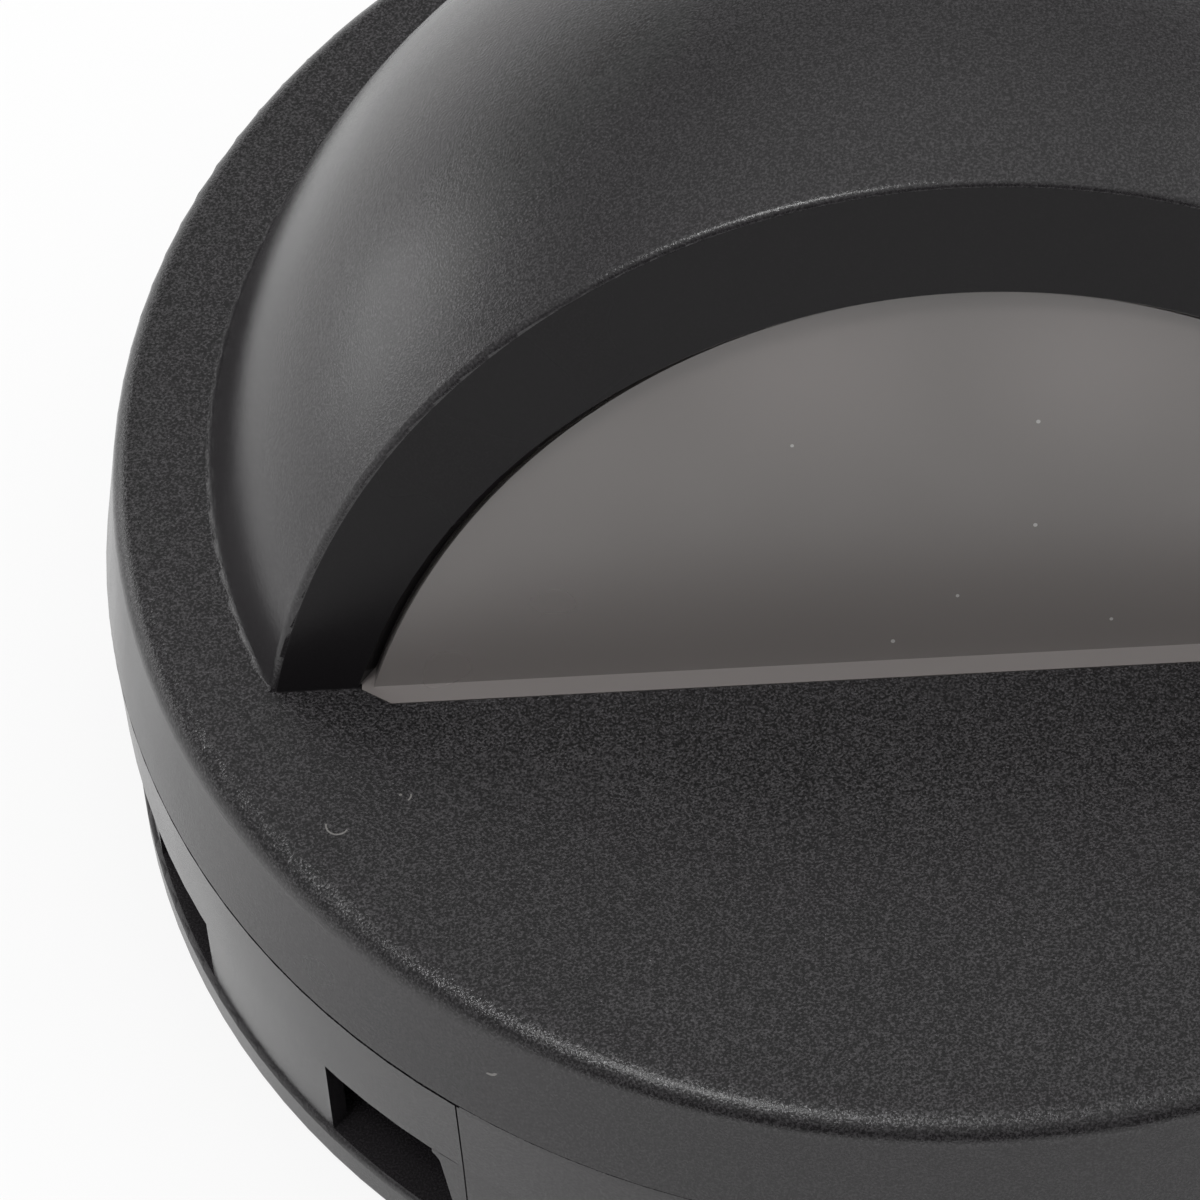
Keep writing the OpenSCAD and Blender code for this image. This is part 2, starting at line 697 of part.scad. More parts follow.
module base() {
    color(black) {
        difference() {
            union() {
                rotate_extrude($fn = 180) base_outline();
                lower_wall();
                // Raised rim over the plain blocks, which nearly closes the parting gap
                for (m = [0, 180])
                    block_ring(upstand_out_r - joint, skirt_r, band_top - joint,
                        parting_gap - block_gap + joint, witness_from_six - 0.3, m);
                // Chamber wall
                ring(chamber_r - chamber_t, chamber_r, floor_under, chamber_top - floor_under);
                // Ribs between the chamber and the outer wall
                on_both_sides(rib_at) translate([chamber_r - joint, -rib_t / 2, foot_h - joint])
                    cube([wall_in_r - chamber_r + 2 * joint, rib_t, catch_z - foot_h - 6]);
            }
            foot_core();
            // Seal groove
            ring(groove_r - groove_w / 2, groove_r + groove_w / 2, seal_z, groove_d + joint);
            // Fine witness lines at the block edges
            for (m = [0, 180]) for (s = sides) rotate([0, 0, -90 + m + s * witness_from_six])
                translate([band_r - 0.15, -0.12, foot_h]) cube([2, 0.24, skirt_z - foot_h + joint]);
        }
        base_floor();
        back_web();
        for (a = tray_boss_at)
            post(tray_boss_circle_r * cos(a), tray_boss_circle_r * sin(a), tray_boss_r, tray_z, screw_r, 12);
        for (p = concat(driver_screw_at, block_screw_at, clamp_screw_at))
            post(p[0], p[1], small_post_r, stand_z, small_screw_r, small_post_h);
    }
}

module back_gasket() {
    color([0.25, 0.25, 0.26]) ring(foam_in_r, foam_out_r, 0.2, floor_under - 0.2);
}

// Rubber grommet with a collar each side of the floor.
module cable_grommet() {
    color([0.16, 0.16, 0.16]) translate([entry_x, entry_y, 0]) rotate_extrude() difference() {
        union() {
            translate([0, floor_under - grommet_collar_t]) square([grommet_r, grommet_collar_t]);
            translate([0, floor_under - joint]) square([entry_hole_r, floor_t + 2 * joint]);
            translate([0, foot_h]) square([grommet_r, grommet_collar_t]);
            translate([0, foot_h + grommet_collar_t])
                polygon([[0, 0], [grommet_r - 2, 0], [cable_r + 1.6, 4], [0, 4]]);
        }
        translate([-joint, -joint]) square([cable_r + joint, far / 10]);
    }
}

// Small posts that carry the driver, the terminal block and the clamp
small_post_r = 3;
small_post_h = 4;
stand_z = foot_h + small_post_h;
// How deep a small screw goes into its post
screw_grip = small_post_h - 0.4;

// Terminal block
poles = 3;
pole_pitch = block_l / poles;
block_y = entry_y;
block_screw_at = [for (s = sides) [-block_x + s * (block_l / 2 - pole_pitch), block_y]];

module terminal_block() {
    tunnel_r = 2.2;
    color([0.9, 0.9, 0.88]) translate([-block_x, block_y, stand_z]) difference() {
        union() {
            for (i = [0:poles - 1]) translate([-block_l / 2 + i * pole_pitch + 0.4, -block_w / 2, 0])
                cube([pole_pitch - 0.8, block_w, block_h]);
            translate([-block_l / 2 + 0.4, -block_w * 0.3, 0])
                cube([block_l - 0.8, block_w * 0.6, block_h * 0.6]);
        }
        for (i = [0:poles - 1]) translate([-block_l / 2 + (i + 0.5) * pole_pitch, 0, 0]) {
            translate([0, -block_w, block_h * 0.35]) rotate([-90, 0, 0])
                cylinder(r = tunnel_r, h = 2 * block_w, $fn = 32);
            for (s = sides) translate([0, s * block_w / 4, block_h * 0.35])
                cylinder(r = terminal_screw_r + 0.2, h = block_h, $fn = 32);
        }
        for (p = block_screw_at) translate([p[0] + block_x, 0, -joint]) {
            cylinder(r = small_screw_r + screw_gap, h = block_h + 1, $fn = 32);
            translate([0, 0, joint + block_h * 0.6 - small_head_h])
                cylinder(r = small_head_r + 0.2, h = block_h, $fn = 32);
        }
    }
}

terminal_screw_r = 1.8;

module terminal_screws() {
    color([0.75, 0.7, 0.55]) translate([-block_x, block_y, stand_z]) for (i = [0:poles - 1]) for (s = sides)
        translate([-block_l / 2 + (i + 0.5) * pole_pitch, s * block_w / 4, block_h * 0.5]) difference() {
            cylinder(r = terminal_screw_r, h = block_h * 0.42, $fn = 32);
            translate([-3, -0.3, block_h * 0.42 - 0.8]) cube([6, 0.6, 2]);
        }
}

module block_screws() {
    color([0.7, 0.7, 0.72]) for (p = block_screw_at)
        translate([p[0], p[1], stand_z + block_h * 0.6 - small_head_h])
            screw(small_shank_r, small_head_r, small_head_h, block_h * 0.6 - small_head_h + screw_grip);
}

// Cable clamp between the entry and the terminals
clamp_x = 4;
clamp_span = 22;
clamp_t = 3;
clamp_screw_at = [[clamp_x, entry_y - clamp_span / 2], [clamp_x, entry_y + clamp_span / 2]];

module cable_clamp() {
    bar_w = 8;
    bar_t = clamp_t;
    color([0.85, 0.85, 0.83]) translate([clamp_x, entry_y, stand_z]) difference() {
        union() {
            translate([-bar_w / 2, -clamp_span / 2, 0]) cube([bar_w, clamp_span, bar_t]);
            for (s = sides) translate([0, s * clamp_span / 2, 0])
                cylinder(r = bar_w / 2, h = bar_t, $fn = 48);
            translate([-bar_w / 2, 0, bar_t * 0.6]) rotate([0, 90, 0])
                cylinder(r = cable_r + 2, h = bar_w, $fn = 64);
        }
        translate([-bar_w, 0, 0]) rotate([0, 90, 0]) cylinder(r = cable_r, h = 2 * bar_w, $fn = 64);
        translate([-bar_w, -clamp_span, -2 * far / 10]) cube([2 * bar_w, 2 * clamp_span, 2 * far / 10]);
        for (s = sides) translate([0, s * clamp_span / 2, -joint])
            cylinder(r = small_screw_r + screw_gap, h = 2 * bar_t, $fn = 32);
    }
}

module clamp_screws() {
    color([0.7, 0.7, 0.72]) for (p = clamp_screw_at) translate([p[0], p[1], stand_z + clamp_t])
        screw(small_shank_r, small_head_r, small_head_h, clamp_t + screw_grip);
}

// Driver with an ear at each end
ear_l = 7;
ear_w = 12;
ear_t = 2;
driver_screw_at = [for (s = sides) [s * (driver_l / 2 + ear_l / 2), -driver_y]];

module driver() {
    r = 2;
    color([0.92, 0.92, 0.9]) translate([0, -driver_y, stand_z]) difference() {
        union() {
            translate([-driver_l / 2, -driver_w / 2 + r, 0]) cube([driver_l, driver_w - 2 * r, driver_h]);
            translate([-driver_l / 2 + r, -driver_w / 2, 0]) cube([driver_l - 2 * r, driver_w, driver_h]);
            for (sx = sides) for (sy = sides)
                translate([sx * (driver_l / 2 - r), sy * (driver_w / 2 - r), 0])
                    cylinder(r = r, h = driver_h, $fn = 32);
            for (s = sides) translate([s * (driver_l / 2 + ear_l / 2) - ear_l / 2 - 0.5, -ear_w / 2, 0])
                cube([ear_l + 1, ear_w, ear_t]);
        }
        for (s = sides) translate([s * (driver_l / 2 + ear_l / 2), 0, -joint])
            cylinder(r = small_screw_r + screw_gap, h = ear_t + 2 * joint, $fn = 32);
        // Lead holes at both ends
        for (s = sides) for (y = [-lead_side, lead_side]) translate([s * driver_l / 2, y, lead_z])
            rotate([0, 90, 0]) cylinder(r = lead_r + lead_hole_gap, h = 8, center = true, $fn = 24);
    }
}

module driver_screws() {
    color([0.7, 0.7, 0.72]) for (p = driver_screw_at) translate([p[0], p[1], stand_z + ear_t])
        screw(small_shank_r, small_head_r, small_head_h, ear_t + screw_grip);
}

// Internal leads, each swept along a smooth curve through a few chosen points
lead_side = 8;
lead_z = 12;
// Clearance of a lead in the driver's end
lead_hole_gap = 0.5;
lead_rings = 18;
lead_faces = 8;
function bezier(p, t) = len(p) == 1 ? p[0]
    : bezier([for (i = [0:len(p) - 2]) p[i] * (1 - t) + p[i + 1] * t], t);
function unit(v) = v / norm(v);

// Round tube along the curve that the points p steer.
module lead(p) {
    c = [for (i = [0:lead_rings]) bezier(p, i / lead_rings)];
    t = [for (i = [0:lead_rings]) unit(c[min(i + 1, lead_rings)] - c[max(i - 1, 0)])];
    side = unit(cross(t[0], [0.3, 0.5, 1]));
    pts = [for (i = [0:lead_rings]) let (
        u = unit(side - t[i] * (side * t[i])),
        v = cross(t[i], u)
    ) for (k = [0:lead_faces - 1]) let (a = 360 * k / lead_faces)
        c[i] + lead_r * (cos(a) * u + sin(a) * v)];
    walls = [for (i = [0:lead_rings - 1]) for (k = [0:lead_faces - 1]) let (n = (k + 1) % lead_faces)
        [i * lead_faces + k, i * lead_faces + n, (i + 1) * lead_faces + n, (i + 1) * lead_faces + k]];
    first = [[for (k = [lead_faces - 1:-1:0]) k]];
    last = [[for (k = [0:lead_faces - 1]) lead_rings * lead_faces + k]];
    polyhedron(points = pts, faces = concat(first, walls, last), convexity = 4);
}

driver_lead_z = stand_z + lead_z;
terminal_lead_z = stand_z + block_h * 0.35;
function terminal_x(i) = -block_x - block_l / 2 + (i + 0.5) * pole_pitch;

// Bow of the supply leads round the driver's end
lead_bow = 18;
supply_y = block_y - block_w / 2;
driver_end = -driver_l / 2;

module live_lead() {
    end_y = lead_side - driver_y;
    color([0.45, 0.25, 0.15]) lead([[terminal_x(0), supply_y + 4, terminal_lead_z],
        [terminal_x(0), supply_y - 0.7 * lead_bow, terminal_lead_z],
        [driver_end - lead_bow, supply_y - lead_bow, terminal_lead_z],
        [driver_end - 1.2 * lead_bow, end_y + lead_bow / 3, driver_lead_z],
        [driver_end - 0.8 * lead_bow, end_y, driver_lead_z], [driver_end + 3, end_y, driver_lead_z]]);
}

module neutral_lead() {
    end_y = -lead_side - driver_y;
    color([0.2, 0.3, 0.6]) lead([[terminal_x(1), supply_y + 4, terminal_lead_z],
        [terminal_x(1), supply_y - 0.8 * lead_bow, terminal_lead_z],
        [driver_end - lead_bow / 2, supply_y - 1.5 * lead_bow, stand_z + 4],
        [driver_end - 1.6 * lead_bow, end_y + lead_bow / 2, driver_lead_z - 2],
        [driver_end - lead_bow, end_y, driver_lead_z], [driver_end + 3, end_y, driver_lead_z]]);
}

// Gear tray and light source
// How deep a tray screw goes into its boss
tray_screw_grip = 8;
wire_hole_r = 7.5;
wire_hole = [driver_l / 2 + wire_hole_r + 2, 1 - driver_y];
board_screw_at = [for (a = [0, 60, 120, 180]) (board_r - board_screw_in) * [cos(a), sin(a)]];
connector_at = [0.55 * board_r, 8 - board_cut_y];

module gear_tray() {
    color([0.8, 0.8, 0.82]) difference() {
        translate([0, 0, tray_z]) cylinder(r = tray_r, h = tray_t, $fn = 180);
        for (a = tray_boss_at) rotate([0, 0, a]) translate([tray_boss_circle_r, 0, tray_z - joint])
            cylinder(r = screw_r + screw_gap, h = tray_t + 2 * joint, $fn = 32);
        for (p = board_screw_at) translate([p[0], p[1], tray_z - joint])
            cylinder(r = small_screw_r, h = tray_t + 2 * joint, $fn = 32);
        translate([wire_hole[0], wire_hole[1], tray_z - joint])
            cylinder(r = wire_hole_r, h = tray_t + 2 * joint, $fn = 48);
    }
}

module tray_screws() {
    color([0.7, 0.7, 0.72]) for (a = tray_boss_at) rotate([0, 0, a])
        translate([tray_boss_circle_r, 0, board_z])
            screw(screw_r - 0.02, screw_head_r, screw_head_h, tray_t + tray_screw_grip);
}

module led_board() {
    color([0.95, 0.95, 0.93]) difference() {
        translate([0, 0, board_z]) intersection() {
            cylinder(r = board_r, h = board_t, $fn = 180);
            translate([-board_r, -board_cut_y, 0]) cube([2 * board_r, 2 * board_r, board_t]);
        }
        for (p = board_screw_at) translate([p[0], p[1], board_z - joint])
            cylinder(r = small_screw_r + screw_gap, h = board_t + 2 * joint, $fn = 32);
    }
}

// Chips on three arcs over the board, each arc given by its radius, number of chips and end angles
chip_out_r = board_r - 8;
chip_arcs = [[chip_out_r - 2 * chip_pitch, 6, -20, 200], [chip_out_r - chip_pitch, 9, -8, 188],
    [chip_out_r, 11, -5, 185]];

module led_chips() {
    color([0.95, 0.85, 0.45]) for (arc = chip_arcs) for (i = [0:arc[1] - 1])
        rotate([0, 0, arc[2] + (arc[3] - arc[2]) * i / (arc[1] - 1)])
            translate([arc[0], 0, board_z + board_t]) difference() {
                translate([-1.75, -1.4, 0]) cube([3.5, 2.8, 0.8]);
                translate([0, 0, 0.6]) cylinder(r = 1.1, h = 1, $fn = 32);
            }
}

module board_screws() {
    color([0.7, 0.7, 0.72]) for (p = board_screw_at) translate([p[0], p[1], board_z + board_t])
        screw(small_shank_r, small_head_r, small_head_h, board_t + tray_t + 1);
}

module board_connector() {
    color([0.9, 0.9, 0.88]) translate([connector_at[0], connector_at[1], board_z + board_t]) difference() {
        translate([-5, -4, 0]) cube([10, 8, 4.4]);
        for (y = [-2, 2]) translate([0, y, 2.2]) rotate([0, 90, 0])
            cylinder(r = lead_r + 0.25, h = 8, $fn = 24);
        for (y = [-2, 2]) translate([-4, y - 0.8, 3.4]) cube([2.4, 1.6, 2]);
    }
}

// Lead from the driver's far end up through the tray to the connector; pole picks its side.
module board_lead(pole) {
    y = pole * 2;
    x = wire_hole[0] + pole * 1.6;
    z = board_z + board_t + 2.2;
    lead([[driver_l / 2 - 3, -driver_y + pole * lead_side, driver_lead_z],
        [x, -driver_y + pole * lead_side, driver_lead_z], [x + 6, wire_hole[1] + y, driver_lead_z],
        [x + 1, wire_hole[1] + y, tray_z], [x, wire_hole[1] + y, tray_z + 4],
        [x + 2, wire_hole[1] + y + 4, z + 12], [x + 4, connector_at[1] + y, z + 4],
        [connector_at[0] + 14, connector_at[1] + y, z], [connector_at[0] + 2, connector_at[1] + y, z]]);
}

module positive_lead() {
    color([0.7, 0.15, 0.12]) board_lead(1);
}

module negative_lead() {
    color([0.08, 0.08, 0.08]) board_lead(-1);
}

base();
back_gasket();
cable_grommet();
terminal_block();
terminal_screws();
block_screws();
cable_clamp();
clamp_screws();
driver();
driver_screws();
live_lead();
neutral_lead();
gear_tray();
tray_screws();
led_board();
led_chips();
board_screws();
board_connector();
positive_lead();
negative_lead();
reflector();
reflector_screws();
cover_seal();
front_cover();
lens();
lens_gasket();
lens_retainer();
retainer_screws();
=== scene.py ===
"""Looks for the deck light: its finishes with their fine dust, the studio and the camera."""
import logging
import math
from dataclasses import dataclass, field
from enum import Enum

import bpy
from mathutils import Matrix, Vector

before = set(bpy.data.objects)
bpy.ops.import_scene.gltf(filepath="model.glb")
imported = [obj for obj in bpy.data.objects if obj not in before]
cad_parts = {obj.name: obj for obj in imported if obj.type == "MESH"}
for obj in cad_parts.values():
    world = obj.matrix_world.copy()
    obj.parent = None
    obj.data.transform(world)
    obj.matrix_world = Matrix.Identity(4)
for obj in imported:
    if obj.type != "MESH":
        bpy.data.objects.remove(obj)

log = logging.getLogger("deck_light")

Tree = bpy.types.NodeTree
Node = bpy.types.Node
Socket = bpy.types.NodeSocket
Triple = tuple[float, float, float]

MM = 0.001
WHITE = (1.0, 1.0, 1.0, 1.0)
UPWARD = (0.0, 0.0, 1.0)
# Soft noise seldom leaves these values, so slow changes are spread between them
NOISE_SPAN = (0.3, 0.7)


def linear(colour: str, alpha: float = 1.0) -> tuple[float, float, float, float]:
    """Turns an sRGB hex colour into linear light.

    Args:
        colour: Six hex digits, with or without a leading #.
        alpha: Fourth value of the result.

    Returns:
        Red, green, blue and alpha.
    """
    digits = colour.lstrip("#")
    out = []
    for i in (0, 2, 4):
        c = int(digits[i:i + 2], 16) / 255
        out.append(c / 12.92 if c <= 0.04045 else ((c + 0.055) / 1.055) ** 2.4)
    return (out[0], out[1], out[2], alpha)


def metres(point_mm: Triple) -> Triple:
    """The same point in metres."""
    return tuple(v * MM for v in point_mm)


def per_metre(size_mm: float) -> float:
    """Scale of a noise or cell pattern with features of size_mm, for coordinates in metres."""
    return 1.0 / (size_mm * MM)


def add(tree: Tree, kind: str, settings: dict | None = None, links: dict | None = None) -> Node:
    """Adds one node, sets its values and joins its inputs.

    Args:
        tree: Node tree that gets the node.
        kind: Blender's name of the node type.
        settings: Input names or numbers to values, and attribute names after a dot to values.
        links: Input names or numbers to output sockets.

    Returns:
        The new node.
    """
    node = tree.nodes.new(kind)
    for key, value in (settings or {}).items():
        if isinstance(key, str) and key.startswith("."):
            setattr(node, key[1:], value)
        else:
            node.inputs[key].default_value = value
    for key, socket in (links or {}).items():
        tree.links.new(socket, node.inputs[key])
    return node


def new_material(name: str) -> tuple[bpy.types.Material, Tree, Node]:
    """Makes an empty node material.

    Args:
        name: Name of the material.

    Returns:
        The material, its tree and its output node.
    """
    material = bpy.data.materials.new(name)
    material.use_nodes = True
    tree = material.node_tree
    tree.nodes.clear()
    return material, tree, add(tree, "ShaderNodeOutputMaterial")


@dataclass(frozen=True)
class Fibre:
    """One curved fibre, or with no radius one speck of dust, that lies on a surface.

    A fibre is the part of a ring round centre_mm that faces the way of facing. Spread is the
    cosine of half the angle that it covers, and any value under -1 keeps the whole ring.
    """

    centre_mm: Triple
    radius_mm: float = 0.0
    facing: Triple = UPWARD
    spread: float = -2.0
    width_mm: float = 0.2

    def mask(self, tree: Tree, place: Socket) -> Socket:
        """One on the fibre and nought elsewhere.

        Args:
            tree: Node tree of the material.
            place: Coordinates in metres.

        Returns:
            The mask.
        """
        arm = add(tree, "ShaderNodeVectorMath", {
            ".operation": "SUBTRACT", 1: metres(self.centre_mm)}, {0: place}).outputs["Vector"]
        reach = add(tree, "ShaderNodeVectorMath", {".operation": "LENGTH"}, {0: arm})
        ring = add(tree, "ShaderNodeMath", {
            ".operation": "COMPARE", 1: self.radius_mm * MM, 2: self.width_mm / 2 * MM,
        }, {0: reach.outputs["Value"]})
        way = add(tree, "ShaderNodeVectorMath", {".operation": "NORMALIZE"}, {0: arm})
        turn = add(tree, "ShaderNodeVectorMath", {".operation": "DOT_PRODUCT", 1: self.facing},
                   {0: way.outputs["Vector"]})
        inside = add(tree, "ShaderNodeMath", {".operation": "GREATER_THAN", 1: self.spread},
                     {0: turn.outputs["Value"]})
        return add(tree, "ShaderNodeMath", {".operation": "MULTIPLY"},
                   {0: ring.outputs["Value"], 1: inside.outputs["Value"]}).outputs["Value"]


def lay_dust(tree: Tree, place: Socket, base: Socket, fibres: tuple[Fibre, ...],
             colour: str) -> Socket:
    """Lays fibres and specks over a colour.

    Args:
        tree: Node tree of the material.
        place: Coordinates in metres.
        base: Colour without dust.
        fibres: What lies on it.
        colour: Hex colour of the dust.

    Returns:
        The colour with dust.
    """
    for fibre in fibres:
        base = add(tree, "ShaderNodeMix", {".data_type": "RGBA", "B": linear(colour)},
                   {"Factor": fibre.mask(tree, place), "A": base}).outputs["Result"]
    return base


@dataclass(frozen=True)
class MouldedPlastic:
    """Injection moulded thermoplastic, such as ABS or polycarbonate, with its mould's grain.

    The grain breaks the light into small points: pit_level and top_level say between which
    values of the noise it rises, and mottle_and_glint how much paler its tops and darker its
    pits are in the colour, which is the grain's own tone with painted glints on the tops and
    painted shade in the pits. The grain of a blasted mould is under a tenth of a millimetre and
    too fine to show, so grain_mm draws it coarser there. The melt's flow changes tone and gloss
    slowly.
    """

    name: str
    colour: str
    roughness: float
    grain_mm: float
    grain_depth_mm: float = 0.02
    mottle_and_glint: float = 0.15
    pit_level: float = 0.36
    top_level: float = 0.64
    drift_mm: float = 30.0
    tone_drift: float = 0.07
    gloss_drift: float = 0.05
    # Upward share of the normal from which a facet counts as level
    level_facing: float = 0.99999
    ior: float = 1.5

    def build(self) -> bpy.types.Material:
        """Makes the material.

        Returns:
            The material.
        """
        material, tree, out = new_material(self.name)
        place = add(tree, "ShaderNodeTexCoord").outputs["Object"]
        fine = self.grain_height(tree, place)
        drift = add(tree, "ShaderNodeTexNoise", {
            "Scale": per_metre(self.drift_mm), "Detail": 2.0}, {"Vector": place}).outputs["Fac"]
        shader = add(tree, "ShaderNodeBsdfPrincipled", {"IOR": self.ior}, {
            "Base Color": self.tone(tree, place, fine, drift),
            "Roughness": self.gloss(tree, drift),
            "Normal": self.relief(tree, fine),
        })
        self.settle(tree, place, fine, shader)
        tree.links.new(shader.outputs["BSDF"], out.inputs["Surface"])
        return material

    def grain_height(self, tree: Tree, place: Socket) -> Socket:
        """Noise with the width of the mould's grain, from 0 in its pits to 1 on its tops.

        Args:
            tree: Node tree of the material.
            place: Coordinates in metres.

        Returns:
            The height.
        """
        noise = add(tree, "ShaderNodeTexNoise", {
            "Scale": per_metre(self.grain_mm), "Detail": 2.0, "Roughness": 0.6,
        }, {"Vector": place})
        return add(tree, "ShaderNodeMapRange", {
            "From Min": self.pit_level, "From Max": self.top_level,
        }, {"Value": noise.outputs["Fac"]}).outputs["Result"]

    def tone(self, tree: Tree, place: Socket, fine: Socket, drift: Socket) -> Socket:
        """Colour that is lighter on the grain's tops and darker in its pits, its own tone with
        painted glints and painted shade, and that drifts slowly.

        Args:
            tree: Node tree of the material.
            place: Coordinates in metres, for a moulding whose colour changes by place.
            fine: Height of the grain.
            drift: Slow noise.

        Returns:
            The colour.
        """
        # Paler tops and darker pits: painted glints and painted shade beside the grain's own
        # tone
        tops = add(tree, "ShaderNodeMapRange", {
            "To Min": 1 - self.mottle_and_glint, "To Max": 1 + self.mottle_and_glint}, {"Value": fine})
        slow = add(tree, "ShaderNodeMapRange", {
            "From Min": NOISE_SPAN[0], "From Max": NOISE_SPAN[1],
            "To Min": 1 - self.tone_drift, "To Max": 1 + self.tone_drift,
        }, {"Value": drift})
        both = add(tree, "ShaderNodeMath", {".operation": "MULTIPLY"},
                   {0: tops.outputs["Result"], 1: slow.outputs["Result"]})
        return add(tree, "ShaderNodeVectorMath", {
            ".operation": "SCALE", 0: linear(self.colour)[:3],
        }, {"Scale": both.outputs["Value"]}).outputs["Vector"]

    def gloss(self, tree: Tree, drift: Socket) -> Socket:
        """Roughness that drifts slowly.

        Args:
            tree: Node tree of the material.
            drift: Slow noise.

        Returns:
            The roughness.
        """
        return add(tree, "ShaderNodeMapRange", {
            "From Min": NOISE_SPAN[0], "From Max": NOISE_SPAN[1],
            "To Min": self.roughness - self.gloss_drift,
            "To Max": self.roughness + self.gloss_drift,
        }, {"Value": drift}).outputs["Result"]

    def relief(self, tree: Tree, fine: Socket) -> Socket:
        """Surface direction with the grain on it. A level facet keeps its own direction.

        Args:
            tree: Node tree of the material.
            fine: Height of the grain.

        Returns:
            The normal.
        """
        facing = add(tree, "ShaderNodeNewGeometry")
        up = add(tree, "ShaderNodeVectorMath", {".operation": "DOT_PRODUCT", 1: UPWARD},
                 {0: facing.outputs["True Normal"]})
        level = add(tree, "ShaderNodeMath", {
            ".operation": "GREATER_THAN", 1: self.level_facing}, {0: up.outputs["Value"]})
        # Vector mixes have their two inputs at 4 and 5 and their result at 1
        normal = add(tree, "ShaderNodeMix", {".data_type": "VECTOR"}, {
            "Factor": level.outputs["Value"],
            4: facing.outputs["Normal"], 5: facing.outputs["True Normal"],
        }).outputs[1]
        return add(tree, "ShaderNodeBump", {
            "Strength": 1.0, "Distance": self.grain_depth_mm * MM,
        }, {"Height": fine, "Normal": normal}).outputs["Normal"]

    def settle(self, tree: Tree, place: Socket, fine: Socket, shader: Node) -> None:
        """Last changes to the shader, for a moulding that has some. A plain one has none.

        Args:
            tree: Node tree of the material.
            place: Coordinates in metres.
            fine: Height of the grain.
            shader: The shader to change.
        """


